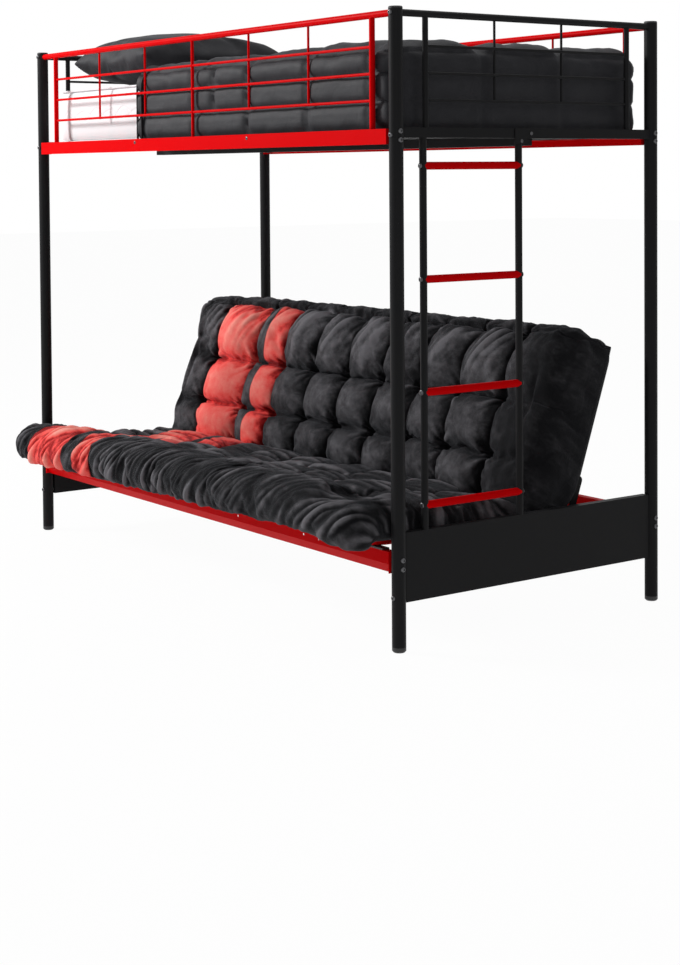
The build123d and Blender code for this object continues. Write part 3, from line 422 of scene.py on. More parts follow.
# Each station of the side view: a place on the show side and the one under or behind it
stations = [((y + middle_y, z), (v + middle_y, w)) for y, z, v, w in (
    (-0.545, 0.288, -0.545, 0.288), (-0.577, 0.291, -0.541, 0.2895), (-0.596, 0.310, -0.536, 0.2910),
    (-0.602, 0.338, -0.531, 0.2925), (-0.593, 0.367, -0.524, 0.2945), (-0.566, 0.386, -0.514, 0.2965),
    (-0.522, 0.392, -0.500, 0.2965), (-0.455, 0.384, -0.450, 0.2965), (-0.390, 0.372, -0.390, 0.2965),
    (-0.310, 0.358, -0.310, 0.2965), (-0.200, 0.344, -0.200, 0.2965), (-0.100, 0.334, -0.090, 0.2965),
    (-0.035, 0.327, 0.010, 0.2965), (0.020, 0.315, 0.080, 0.2967))]
roll_foot, roll_brow, roll_end, front_row, seat_row, crease = 1, 5, 7, 8, 10, len(stations) - 1
stations += [(on_back(0.012, 0.178), (0.125 + middle_y, 0.2972)),
             (on_back(0.050, 0.190), (0.168 + middle_y, 0.2990))]
stations += [(on_back(*shown), on_back(*hidden)) for shown, hidden in (
    ((0.100, 0.188), (0.050, 0.0175)), ((0.180, 0.192), (0.130, 0.0162)), ((0.265, 0.190), (0.225, 0.0160)),
    ((0.365, 0.197), (0.345, 0.0160)), ((0.436, 0.199), (0.422, 0.0160)), ((0.474, 0.193), (0.462, 0.0165)),
    ((0.494, 0.182), (0.482, 0.0180)), ((0.506, 0.158), (0.494, 0.0240)), ((0.509, 0.115), (0.494, 0.0400)),
    ((0.502, 0.075), (0.502, 0.0750)))]
low_row, high_row, top_row, top_bend = crease + 3, crease + 5, crease + 8, crease + 9


def even_steps(spacing):
    # The side view's smooth line, stepped evenly along the show side: both sides' places, and lengths
    points = np.array([(*shown, *hidden) for shown, hidden in stations])
    at = np.concatenate([[0], np.cumsum(np.hypot(*np.diff(points[:, :2], axis=0).T))])
    slopes = np.gradient(points, at, axis=0)
    where = np.linspace(0, at[-1], round(at[-1] / spacing) + 1)
    cell = np.clip(np.searchsorted(at, where, side="right") - 1, 0, len(at) - 2)
    width = (at[cell + 1] - at[cell])[:, None]
    t = (where - at[cell])[:, None] / width
    smooth = ((2 * t ** 3 - 3 * t ** 2 + 1) * points[cell] + (t ** 3 - 2 * t ** 2 + t) * width * slopes[cell]
              + (3 * t ** 2 - 2 * t ** 3) * points[cell + 1] + (t ** 3 - t ** 2) * width * slopes[cell + 1])
    return smooth[:, :2], smooth[:, 2:], where, at


def ramp(value, none, full):
    # 0 at one place and before it, 1 at the other and past it, and an even slope between
    return np.clip((value - none) / (full - none), 0, 1)


futon_left, futon_right = -0.968, 0.972
left_round, right_round = 0.028, 0.075
left_round_shares = (0, 0.02, 0.08, 0.2, 0.4, 0.7)
right_round_shares = (1, 0.84, 0.68, 0.53, 0.4, 0.28, 0.18, 0.1, 0.045, 0.012, 0)
columns = [futon_left, -0.808, -0.555, -0.378, -0.190, -0.005, 0.178, 0.363, 0.546, 0.743, futon_right]
inner_columns = np.array(columns[1:-1])
spacing = 0.0095
across = [futon_left + left_round * share for share in left_round_shares]
for near, far in zip(columns, columns[1:]):
    near = max(near, futon_left + left_round)
    far = min(far, futon_right - right_round)
    steps = max(2, round((far - near) / spacing))
    across += [near + (far - near) * step / steps for step in range(steps)]
across += [futon_right - right_round * share for share in right_round_shares]
across = np.array(across)
fullness = np.ones(len(across))
for reach, distance in ((left_round, across - futon_left), (right_round, futon_right - across)):
    fullness = np.minimum(fullness, (1 - ramp(distance, reach, 0) ** 2.4) ** (1 / 2.4))
shown, hidden, where, marks = even_steps(spacing)
row_lines = np.array([marks[k] for k in (front_row, seat_row, crease, low_row, high_row, top_row)])
fold_line, front_line, back_line, top_seam = marks[crease], row_lines[0], row_lines[-2], row_lines[-1]


def cell_share(value, lines, first_reach, last_reach):
    # How far across its cell a place is, from 0 on a sewn line to 0.5 in the middle, and its gap to the line
    gap = np.min(np.abs(value[:, None] - lines[None, :]), axis=1)
    after = np.searchsorted(lines, value, side="right")
    low = lines[np.clip(after - 1, 0, len(lines) - 1)]
    high = lines[np.clip(after, 0, len(lines) - 1)]
    width = np.where(after == 0, 2 * first_reach, np.where(after == len(lines), 2 * last_reach, high - low))
    return np.minimum(0.5, gap / width), gap


# The air in each cell: little in the top band and the left border, less on the seat and at the right
# end. The roll has no cells across, and the two borders none along.
share_x, gap_x = cell_share(across, inner_columns, 0.10, 0.14)
share_v, gap_v = cell_share(where, row_lines, 0.16, 0.05)
left_border, right_border = -0.815, 0.76
on_band = ramp(where, top_seam, top_seam + 0.01)
on_roll = ramp(where, front_line, front_line - 0.06)
on_seat = ramp(where, fold_line, fold_line - 0.03)
on_left = ramp(across, left_border, left_border - 0.02)
on_right = ramp(across, right_border, right_border + 0.05)
air = np.outer(1 - 0.95 * on_band, 1 - 0.75 * on_left) * (1 - 0.62 * on_seat)[:, None]
air *= (1 - 0.45 * on_right)[None, :]
even_x = share_x[None, :] + (0.5 - share_x)[None, :] * 0.7 * on_roll[:, None]
even_v = share_v[:, None] + (0.5 - share_v)[:, None] * np.maximum(0.85 * on_right, 0.9 * on_left)[None, :]
tuft_reach = 0.024
tuft = np.exp(-(gap_x[None, :] ** 2 + gap_v[:, None] ** 2) / tuft_reach ** 2) * (1 - on_band[:, None])
tuft *= 1 - 0.55 * np.exp(-((where - top_seam) / 0.04) ** 2)[:, None]

# How the cover lies: it swells in its cells and is held down at its tufts, the roll hangs over to the
# left and out past the post, the top leans to the right and sags at both corners, and the seat is sunk
# at the left end
cell_sink, cell_swell, tuft_depth, fine_ripple, broad_ripple = 0.022, 0.045, 0.028, 0.002, 0.004
roll_drag, seat_drag, top_lean, post_bulge = 0.072, 0.010, 0.042, 0.018
left_taper, right_taper = 0.30, 0.21
post_clear_y, post_ease, bulge_start = -0.447, 0.016, -0.80
inner_left, outer_left, inner_right = -0.974, -1.024, 0.978
left_sag, left_sag_reach, corner_drop, roll_droop = np.array([0.004, 0.015]), 0.12, 0.024, 0.014
seat_dip, dip_middle, dip_reach = 0.026, -0.62, 0.30
hidden_map_step = 10


def sewn_surface(name, quilted):
    # A grid over the side view and across the futon, on its show side or its hidden side
    seam = hidden + 0.12 * (shown - hidden)
    line = shown if quilted else hidden
    tangent = np.gradient(shown, axis=0)
    tangent /= np.linalg.norm(tangent, axis=1)[:, None]
    outward = np.stack([-tangent[:, 1], tangent[:, 0]], axis=1)
    rows, width = len(where), len(across)
    bulge = np.zeros((rows, width))
    if quilted:
        crown = np.sqrt(np.sin(math.pi * even_v) * np.sin(math.pi * even_x))
        bulge = (cell_swell * crown - cell_sink) * air ** 0.5 - tuft_depth * tuft * (0.35 + 0.65 * air)
        bulge += (1 - 0.9 * on_band)[:, None] * np.array([[
            noise.noise((x * 30, v * 6, 3.1)) * fine_ripple + noise.noise((x * 8, v * 9, 8.7)) * broad_ripple
            for x in across] for v in where])
    settled = np.outer(np.minimum(1, np.minimum(where, where[-1] - where) / 0.03), fullness ** 2)
    base = seam[:, None, :] + fullness[None, :, None] * (line - seam)[:, None, :]
    base = base + outward[:, None, :] * (bulge * settled)[:, :, None]
    drag = roll_drag * ramp(where, marks[roll_end], marks[roll_foot]) + seat_drag * ramp(where, fold_line, 0)
    taper = (ramp(across, futon_left, futon_left + left_taper)
             * ramp(across, futon_right, futon_right - right_taper))
    pulled = across[None, :] - np.outer(drag, taper)
    pulled = pulled + np.outer(ramp(where, back_line, top_seam) ** 1.5 * top_lean, taper)
    ahead = ramp(line[:, 0], post_clear_y, post_clear_y - post_ease)
    ahead = ahead * ahead * (3 - 2 * ahead) * post_bulge
    pulled = pulled - ahead[:, None] * ramp(pulled, bulge_start, futon_left)
    sag = np.outer(ramp(where, back_line, back_line + 0.15), np.exp(-(across - futon_left) / left_sag_reach))
    base = base - sag[:, :, None] * left_sag
    corner = np.outer(ramp(where, marks[top_bend], marks[-1]), ramp(across, 0.87, 0.96) ** 2)
    droop = np.outer(on_roll, ramp(across, 0.72, 0.90)) * fullness
    base[:, :, 1] -= corner * corner_drop + droop * roll_droop
    if quilted:
        near_back = ramp(where, fold_line, fold_line - 0.30) * (1 - 0.35 * on_roll)
        past_dip = np.clip(across - dip_middle, 0, 2)
        base[:, :, 1] -= np.outer(near_back, np.exp(-past_dip / dip_reach) * fullness) * seat_dip
    places = np.dstack([pulled, base])
    index = np.arange(rows * width).reshape(rows, width)
    quads = np.stack([index[:-1, :-1], index[:-1, 1:], index[1:, 1:], index[1:, :-1]], axis=-1)
    mesh = bpy.data.meshes.new(name)
    mesh.from_pydata(places.reshape(-1, 3).tolist(), [], quads.reshape(-1, 4).tolist())
    flat_map = np.dstack(np.meshgrid(across, where + (0 if quilted else hidden_map_step)))
    at = np.zeros(len(mesh.loops), int)
    mesh.loops.foreach_get("vertex_index", at)
    mesh.uv_layers.new(name="Cloth").data.foreach_set("uv", flat_map.reshape(-1, 2)[at].ravel())
    made = bpy.data.objects.new(name, mesh)
    scene.collection.objects.link(made)
    return made


def vertex_places(piece):
    places = np.zeros(len(piece.data.vertices) * 3)
    piece.data.vertices.foreach_get("co", places)
    return places.reshape(-1, 3)


def put_places(piece, places):
    piece.data.vertices.foreach_set("co", places.ravel())
    piece.data.update()


def weigh(piece, name, weights):
    group = piece.vertex_groups.new(name=name)
    for number, weight in enumerate(weights.ravel()):
        if weight > 0.005:
            group.add([number], float(weight), "REPLACE")


def puff_up(piece, frames, pressure, slack, stiff, bend, most):
    # Blows a sewn cover up: each point's old place, and its move, held to so much at most
    before = vertex_places(piece)
    cloth = piece.modifiers.new("Cloth", "CLOTH")
    settings = cloth.settings
    settings.quality = 5
    settings.mass = 0.25
    settings.tension_stiffness = settings.compression_stiffness = stiff
    settings.shear_stiffness = stiff * 0.5
    settings.bending_stiffness = bend
    settings.air_damping = 6
    settings.vertex_group_mass = "sewn"
    settings.pin_stiffness = 1.0
    settings.use_pressure = True
    settings.uniform_pressure_force = pressure
    if "air" in piece.vertex_groups:
        settings.vertex_group_pressure = "air"
    settings.shrink_min = -slack
    settings.effector_weights.gravity = 0
    cloth.collision_settings.use_collision = False
    cloth.point_cache.frame_start = 1
    cloth.point_cache.frame_end = frames
    for step in range(1, frames + 1):
        scene.frame_set(step)
    shaped = piece.evaluated_get(bpy.context.evaluated_depsgraph_get())
    blown = np.zeros(len(piece.data.vertices) * 3)
    shaped.data.vertices.foreach_get("co", blown)
    piece.modifiers.remove(cloth)
    scene.frame_set(1)
    moved = blown.reshape(-1, 3) - before
    size = np.linalg.norm(moved, axis=1)
    return before, moved * (np.minimum(size, most) / np.maximum(size, 1e-9))[:, None]


def between_posts(places, depth, spare):
    # Keeps the cover between the posts behind their front faces, and the roll level with their outsides
    left = np.where(depth > post_clear_y, inner_left, outer_left)
    places[:, 0] = np.clip(places[:, 0], left - spare, inner_right + spare)


deck_front_y, deck_top, roll_floor = -0.46, 0.2985, 0.27
cover_top = sewn_surface("futon_mattress", True)
pull = np.maximum(0.4 * np.exp(-(gap_x / 0.008) ** 2)[None, :] * (1 - 0.6 * on_roll[:, None]),
                  0.4 * np.exp(-(gap_v / 0.008) ** 2)[:, None])
pull = np.maximum(pull, np.maximum(0.25 * on_band[:, None], 0.12 * on_left[None, :]))
pull[tuft > 0.75] = 1
pull[0] = pull[-1] = 1
pull[:, 0] = pull[:, -1] = 1
weigh(cover_top, "sewn", pull)
weigh(cover_top, "air", air)
before, moved = puff_up(cover_top, frames=24, pressure=4.5, slack=0.16, stiff=12, bend=0.3,
                        most=0.006 + 0.020 * air.ravel())
placed = before + moved
between_posts(placed, before[:, 1], 0)
placed[:, 2] = np.maximum(placed[:, 2], np.where(before[:, 1] > deck_front_y, deck_top, roll_floor))
put_places(cover_top, placed)
cover_under = sewn_surface("futon_underside", False)
for half in (cover_top, cover_under):
    half.data.materials.append(futon_cloth)


def sew_up(reach):
    # Merges the chosen cover's points that meet at its seam, and turns its faces outwards
    bpy.ops.object.mode_set(mode="EDIT")
    bpy.ops.mesh.select_all(action="SELECT")
    bpy.ops.mesh.remove_doubles(threshold=reach)
    bpy.ops.mesh.normals_make_consistent(inside=False)
    bpy.ops.object.mode_set(mode="OBJECT")


def refine(piece):
    finer = piece.modifiers.new("finer", "SUBSURF")
    finer.levels = finer.render_levels = 1
    bpy.ops.object.modifier_apply(modifier="finer")


choose(cover_top, cover_under)
bpy.ops.object.join()
sew_up(0.0003)
bpy.ops.object.shade_smooth()
cover_top.vertex_groups.clear()
refine(cover_top)


def from_nearest(value, lines):
    # How far past its nearest sewn line a place is
    gaps = value[:, None] - lines[None, :]
    return np.take_along_axis(gaps, np.argmin(np.abs(gaps), axis=1)[:, None], 1)[:, 0]


def ridge(*spot):
    return abs(noise.noise(spot))


# The cover's own creases: puckers round each tuft, gathers on the roll and under the top seam, and
# long folds along the seat, pressed into the blown-up cover. A painted highlight on whatever stands up,
# and painted shade in the folds and over the back's right end, are stored with them.
mesh = cover_top.data
at = np.zeros(len(mesh.loops), int)
mesh.loops.foreach_get("vertex_index", at)
loop_map = np.zeros(len(mesh.loops) * 2)
mesh.uv_layers["Cloth"].data.foreach_get("uv", loop_map)
spot = np.zeros((len(mesh.vertices), 2))
spot[at] = loop_map.reshape(-1, 2)
u, v = spot.T
on_show = v < hidden_map_step / 2
nearest_u, nearest_v = from_nearest(u, inner_columns), from_nearest(v, row_lines)
distance = np.hypot(nearest_u, nearest_v)
heading = np.arctan2(nearest_v, nearest_u)
tuft_u, tuft_v = np.round((u - nearest_u) * 50), np.round((v - nearest_v) * 50)
seat_share = ramp(v, fold_line, fold_line - 0.05) * ramp(v, marks[roll_brow], marks[roll_brow] + 0.05)
roll_share = ramp(v, front_line + 0.02, front_line - 0.04) * ramp(v, 0, 0.06)
top_share = ramp(v, back_line, top_seam) ** 1.3
top_share *= 0.3 + 0.7 * ramp(v, top_seam + 0.012, top_seam)
top_share *= ramp(v, top_seam + 0.07, top_seam + 0.05)
end_share = ramp(u, right_border, right_border + 0.08) * ramp(v, fold_line, fold_line + 0.05)
hill = (1 - np.exp(-(np.abs(nearest_u) / 0.030) ** 1.4)) * (1 - np.exp(-(np.abs(nearest_v) / 0.034) ** 1.4))
pucker = np.exp(-((distance - 0.034) / 0.034) ** 2)
pucker_height, fold_height, roll_height, top_height, ripple_height = 0.0072, 0.0110, 0.0095, 0.0105, 0.0035
underside_painted_light = 0.12
crease_lift = np.zeros(len(mesh.vertices))
painted_light = np.full(len(mesh.vertices), underside_painted_light)
for number in np.nonzero(on_show)[0]:
    a, b, turned = u[number], v[number], heading[number]
    fold = ridge(math.cos(turned) * 2.6 + tuft_u[number], math.sin(turned) * 2.6 + tuft_v[number],
                 distance[number] * 9)
    lift = (fold * 1.9 - 0.45) * pucker_height * pucker[number] * (1 - 0.7 * end_share[number])
    if seat_share[number] > 0:
        fold = ridge(a * 3.4 + b * 5, b * 27 - a * 3, 2.2)
        lift += (fold * 1.9 - 0.4) * fold_height * seat_share[number]
    if roll_share[number] > 0:
        fold = ridge(a * 40 - b * 24 + 2 * math.sin(a * 5), b * 9, 6.1)
        calm = 0.45 + 1.5 * ridge(a * 5, b * 7, 1.6)
        lift += (fold * 1.9 - 0.4) * roll_height * roll_share[number] * calm
    if top_share[number] > 0:
        fold = ridge(a * 32 - b * 15, b * 5, 9.4)
        lift += (fold * 1.9 - 0.4) * top_height * top_share[number] * (1 - 0.85 * end_share[number])
    level = max(seat_share[number], roll_share[number])
    # Painted light: a painted highlight on the puff crowns and crease ridges, painted shade near black in the
    # folds; the next line paints shade over the right end of the back
    painted_light[number] = 0.02 + (0.44 - 0.26 * level) * hill[number] + lift * (58 + 12 * level)
    painted_light[number] *= 1 - 0.75 * end_share[number]
    lift += noise.noise((a * 11, b * 11, 4.0)) * ripple_height * (1 - 0.8 * (b > top_seam))
    crease_lift[number] = lift * min(1, (a - futon_left) / 0.03, (futon_right + 0.02 - a) / 0.06)
normals = np.zeros(len(mesh.vertices) * 3)
mesh.vertices.foreach_get("normal", normals)
places = vertex_places(cover_top) + normals.reshape(-1, 3) * crease_lift[:, None]
between_posts(places, places[:, 1], 0.002)
on_deck = on_show & (places[:, 1] > deck_front_y)
places[on_deck, 2] = np.maximum(places[on_deck, 2], deck_top)
mesh.attributes.new("fade", "FLOAT", "POINT").data.foreach_set("value", np.clip(painted_light, 0, 1))
put_places(cover_top, places)
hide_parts("seat_futon", "back_futon")
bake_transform(cover_top)


# Mattress: a foam block of 88 by 190 cm and 18 cm thick in white knitted ticking, with piping round
# both edges. The ticking is quilted in a wavy lattice on top and in two crossing scrolls below it.
bed_half_x, bed_half_y = 0.95, 0.44
bed_low = np.array([-bed_half_x, middle_y - bed_half_y, 1.3777])
bed_high = np.array([bed_half_x, middle_y + bed_half_y, 1.5621])
bed_corner, bed_edge, side_draw, top_dimple = 0.035, 0.02, 0.004, 0.003
scroll_level, quilting_level = 1.470, 1.555
ticking, tick_shader, start = new_finish("mattress_ticking", {
    "Sheen Weight": 0.15, "Sheen Roughness": 0.5, "Specular IOR Level": 0.25})
place = start.node("TexCoord", output=3)
reach_x, reach_y, reach_z = split_axes(start, place)
swing = start.reckon("SINE", (reach_x + reach_y) * 34.0) * 0.022
scroll = start.reckon("ABSOLUTE", reach_z - scroll_level - swing)
echo = start.reckon("ABSOLUTE", reach_z - scroll_level + swing * 0.6)
border = start.reckon("MINIMUM", scroll, echo)
drift = start.reckon("SINE", reach_y * 42.0) * 0.55
leaf_one = start.reckon("ABSOLUTE", start.reckon("SINE", reach_x * 26.0 + reach_y * 26.0 + drift))
leaf_two = start.reckon("ABSOLUTE", start.reckon("SINE", reach_x * 26.0 - reach_y * 26.0 - drift))
upper = reach_z > quilting_level
stitched = start.reckon("MINIMUM", border * 140.0, 1.0)
quilted = start.reckon("POWER", start.reckon("MINIMUM", leaf_one, leaf_two), 0.6)
knit = start.node("TexVoronoi", {}, {"Vector": place, "Scale": 520.0})
soft = start.node("TexNoise", {}, {"Vector": place, "Scale": 22.0, "Detail": 4.0})
height = upper * quilted + (1 - upper) * stitched + knit * 0.06 + soft * 0.3
# On top the ticking is painted darker down into the grooves of its quilted lattice, as painted shade
feed(tick_shader, {
    "Base Color": blend_colours(start, (1 - quilted) * upper * 0.5 + soft * 0.3, (0.86, 0.87, 0.885, 1),
                                (0.72, 0.74, 0.77, 1)),
    "Roughness": soft * 0.1 + 0.8,
    "Normal": start.node("Bump", {}, {"Strength": 0.4, "Distance": 0.004, "Height": height}),
})


def slice_edges(piece, axis, cuts):
    # Cuts every edge that runs along one axis, as loop cuts do
    bpy.ops.object.mode_set(mode="EDIT")
    bpy.ops.mesh.select_mode(type="EDGE")
    bpy.ops.mesh.select_all(action="DESELECT")
    bpy.ops.object.mode_set(mode="OBJECT")
    points = [vertex.co.copy() for vertex in piece.data.vertices]
    for edge in piece.data.edges:
        run = points[edge.vertices[1]] - points[edge.vertices[0]]
        edge.select = abs(run[axis]) > 0.99 * run.length
    bpy.ops.object.mode_set(mode="EDIT")
    bpy.ops.mesh.subdivide(number_cuts=cuts)


def soft_block(name, low, high, cuts):
    clear_choice()
    bpy.ops.mesh.primitive_cube_add(size=1, location=tuple((low + high) / 2), scale=tuple(high - low))
    made = bpy.context.object
    made.name = name
    bpy.ops.object.transform_apply(location=True, rotation=True, scale=True)
    for axis, count in enumerate(cuts):
        slice_edges(made, axis, count)
    bpy.ops.object.mode_set(mode="OBJECT")
    return made


def round_off(places, low, high, radius_flat, radius_edge):
    # Pulls a block's surface in to round its upright corners, then its level edges
    inner_low, inner_high = low[:2] + radius_flat, high[:2] - radius_flat
    core = np.clip(places[:, :2], inner_low, inner_high)
    away = places[:, :2] - core
    far = np.linalg.norm(away, axis=1)
    both = (np.abs(away[:, 0]) > 1e-6) & (np.abs(away[:, 1]) > 1e-6)
    square = np.max(np.abs(away), axis=1)
    shrink = np.where(both, square / np.maximum(far, 1e-9), 1.0)
    places[:, :2] = core + away * shrink[:, None]
    outside = ramp(square, radius_flat - radius_edge, radius_flat)
    depth = ramp(places[:, 2], high[2] - radius_edge, high[2])
    foot = ramp(places[:, 2], low[2] + radius_edge, low[2])
    for band, sign in ((depth, -1), (foot, 1)):
        length = np.maximum(np.hypot(outside, band), 1e-9)
        limit = np.maximum(outside, band) / length
        inward = outside * (1 - limit) * radius_edge
        direction = away / np.maximum(far, 1e-9)[:, None]
        places[:, :2] -= direction * inward[:, None] * (band > 0)[:, None]
        places[:, 2] += sign * band * (1 - limit) * radius_edge * (outside > 0)
    return places


mattress = soft_block("mattress_block", bed_low, bed_high, (120, 56, 14))
places = round_off(vertex_places(mattress), bed_low, bed_high, bed_corner, bed_edge)
level = (places[:, 2] - bed_low[2]) / (bed_high[2] - bed_low[2])
draw = 1 - side_draw / bed_half_y * (2 * level - 1) ** 2
places[:, 1] = middle_y + (places[:, 1] - middle_y) * draw
dimple = np.array([noise.noise((x * 5, y * 5, 2.0)) for x, y, z in places])
places[:, 2] += np.where(level > 0.9, (dimple - 1) * top_dimple, 0)
put_places(mattress, places)
settle(mattress, ticking, 60)


def piping(name, points, thickness, material, closed):
    # A sewn-in cord along a seam
    path = bpy.data.curves.new(name, "CURVE")
    path.dimensions = "3D"
    path.bevel_depth = thickness
    path.bevel_resolution = 2
    spline = path.splines.new("POLY")
    spline.points.add(len(points) - 1)
    for point, spot in zip(spline.points, points):
        point.co = (*spot, 1)
    spline.use_cyclic_u = closed
    made = bpy.data.objects.new(name, path)
    scene.collection.objects.link(made)
    choose(made)
    bpy.ops.object.convert(target="MESH")
    bpy.ops.object.shade_smooth()
    made.data.materials.append(material)
    return made


cord_r, cord_bend = 0.003, 0.0325
cords = []
for cord_level in (1.3820, 1.5580):
    ring = []
    for side_x, side_y, first in ((1, 1, 0), (-1, 1, 90), (-1, -1, 180), (1, -1, 270)):
        for turn in range(0, 91, 15):
            angle = math.radians(first + turn)
            ring.append((side_x * (bed_half_x - bed_corner) + cord_bend * math.cos(angle),
                         side_y * (bed_half_y - bed_corner) + cord_bend * math.sin(angle) + middle_y,
                         cord_level))
    cords.append(piping("mattress_piping", ring, cord_r, ticking, True))
mattress = join_as("mattress_block", [mattress, *cords], "frame", "mattress")


# Quilt: a dark sateen cover stuffed in box-stitched pads, laid over the ladder end of the mattress
# and hanging down three sides. Its hem is bound with a doubled edge.
bed_cloth, bed_shader, start = new_finish("bedding_cloth", {
    "Sheen Weight": 0.08, "Sheen Roughness": 0.4, "Sheen Tint": (0.6, 0.62, 0.7, 1),
    "Specular IOR Level": 0.25})
place = start.node("TexCoord", output=3)
slub = start.node("TexNoise", {}, {"Vector": place, "Scale": 55.0, "Detail": 6.0, "Roughness": 0.6})
crumple = start.node("TexNoise", {}, {"Vector": place, "Scale": 18.0, "Detail": 4.0, "Distortion": 0.8})
twill = start.node("TexWave", {"bands_direction": "DIAGONAL"}, {"Vector": place, "Scale": 300.0})
feed(bed_shader, {
    "Base Color": blend_colours(start, slub * 0.6 + crumple * 0.4, (0.006, 0.006, 0.008, 1),
                                (0.026, 0.026, 0.031, 1)),
    "Roughness": slub * 0.15 + 0.55,
    "Normal": start.node("Bump", {}, {"Strength": 0.5, "Distance": 0.005,
                                      "Height": crumple * 0.8 + slub * 0.15 + twill * 0.04}),
})
quilt_low = np.array([-0.355, -0.463 + middle_y, 1.380])
quilt_high = np.array([0.972, 0.463 + middle_y, 1.609])
quilt_corner, quilt_edge, quilt_gauge = 0.06, 0.055, 0.013
cuts = ((125, 84, 20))
quilt = soft_block("quilt_cover", quilt_low, quilt_high, cuts)
select_faces(quilt, lambda middle, normal: normal.z < -facing or normal.x < -facing)
bpy.ops.mesh.delete(type="FACE")
bpy.ops.object.mode_set(mode="OBJECT")
flat_places = vertex_places(quilt)

# The open underside and left end aren't rounded, so the block that it is rounded by is longer there
low_round, high_round = quilt_low - np.array([0.3, 0, 0.3]), quilt_high
places = round_off(flat_places.copy(), low_round, high_round, quilt_corner, quilt_edge)


def pad_share(value, lines, edge):
    # 0 on a sewn line and 1 in the middle of a pad, with steep sides
    gaps = np.min(np.abs(value[:, None] - np.array(lines)[None, :]), axis=1)
    return 1 - np.exp(-(gaps / edge) ** 1.5)


x, y, z = flat_places.T
y = y - middle_y
column_lines, half_column_line = [-0.320, -0.018, 0.277, 0.581, 0.87], 0.091
top_lines, end_lines = [-0.45, -0.15, 0.15, 0.45], [-0.42, -0.15, 0.15, 0.42]
drop_lines = [1.381, 1.455, 1.533, 1.610]
top_slopes, drop_slope, end_slopes = (0.02, 0.022), 0.013, (0.009, 0.010)
top_puff, foot_puff, drop_puff, end_puff, foot_start = 0.019, 0.018, 0.015, 0.007, 0.862
top_sink, drop_sink, end_sink, cover_ripple, top_sway = 0.006, 0.009, 0.003, 0.0022, 0.010
on_top = z > quilt_high[2] - 0.004
on_end = (x > quilt_high[0] - 0.003) & ~on_top
on_side = ~on_top & ~on_end
on_half_column = on_side & (z > drop_lines[1])
share = np.where(on_top, pad_share(x, column_lines, top_slopes[0]) * pad_share(y, top_lines, top_slopes[1]),
                 pad_share(x, column_lines, drop_slope) * pad_share(z, drop_lines, drop_slope))
share = np.where(on_half_column, share * pad_share(x, [half_column_line], drop_slope), share)
share = np.where(on_end, pad_share(z, drop_lines, end_slopes[0]) * pad_share(y, end_lines, end_slopes[1]),
                 share)
puff = np.where(on_top, np.where(x > foot_start, foot_puff, top_puff), np.where(on_end, end_puff, drop_puff))
sink = np.where(on_top, top_sink, np.where(on_end, end_sink, drop_sink))
rumple = np.array([noise.noise((a * 14, b * 14, c * 22)) + 0.5 * noise.noise((a * 33, b * 33, c * 30))
                   for a, b, c in flat_places])
sway = np.array([noise.noise((a * 3.1, b * 4.3, 5.0)) for a, b, c in flat_places]) * on_top
lift = puff * share * (1 + 0.22 * rumple) - sink + cover_ripple * rumple + top_sway * sway
outward = places - np.clip(flat_places, low_round + quilt_corner, high_round - quilt_corner)
outward /= np.maximum(np.linalg.norm(outward, axis=1), 1e-9)[:, None]
places += outward * lift[:, None]

# The folded corner at the ladder, and the clearance from the posts and the guards
fold_x, fold_y, pleat_depth = 0.93, -0.46, 0.006
clear_right, clear_side = 0.981, 0.4655
tuck = np.exp(-((x - fold_x) / 0.03) ** 2) * np.exp(-((y - fold_y) / 0.05) ** 2) * (1 - on_top)
pleat = np.sin((z - 1.4) * 26 + x * 60) * pleat_depth
places += outward * (tuck * pleat)[:, None]
places[:, 0] = np.minimum(places[:, 0], clear_right)
places[:, 1] = np.clip(places[:, 1], middle_y - clear_side, middle_y + clear_side)
put_places(quilt, places)
choose(quilt)
bpy.ops.object.mode_set(mode="EDIT")
bpy.ops.mesh.select_all(action="SELECT")
bpy.ops.mesh.normals_make_consistent(inside=False)
bpy.ops.object.mode_set(mode="OBJECT")
stuffing = quilt.modifiers.new("stuffing", "SOLIDIFY")
stuffing.thickness = quilt_gauge
stuffing.offset = -1
stuffing.use_even_offset = False
bpy.ops.object.modifier_apply(modifier="stuffing")
settle(quilt, bed_cloth, 60)

# The bound hem: two cords up the front drop, over the top and down the rear drop
hem_x, hem_side, hem_foot, hem_top, hem_bend, hem_r = -0.357, 0.4635, 1.382, 1.605, 0.056, 0.004
hem_step, hem_inset = 0.0166, 0.026
hem_shoulder = hem_top - hem_bend
hems = []
for inset in (0, hem_inset):
    rise = [(-hem_side, hem_foot + hem_step * k) for k in range(11)]
    over = [(hem_bend * (1 - math.cos(math.radians(a))) - hem_side,
             hem_shoulder + hem_bend * math.sin(math.radians(a))) for a in range(10, 91, 10)]
    flat_run = [(-0.40 + 0.04 * k, hem_top) for k in range(21)]
    fall = [(hem_side, hem_shoulder - hem_step * k) for k in range(11)]
    side_view = rise + over + flat_run + [(-a, b) for a, b in reversed(over)] + fall
    line = [(hem_x + inset, a + middle_y, b) for a, b in side_view]
    hems.append(piping("quilt_hem", line, hem_r, bed_cloth, False))
quilt = join_as("quilt_cover", [quilt, *hems], "frame", "quilt")


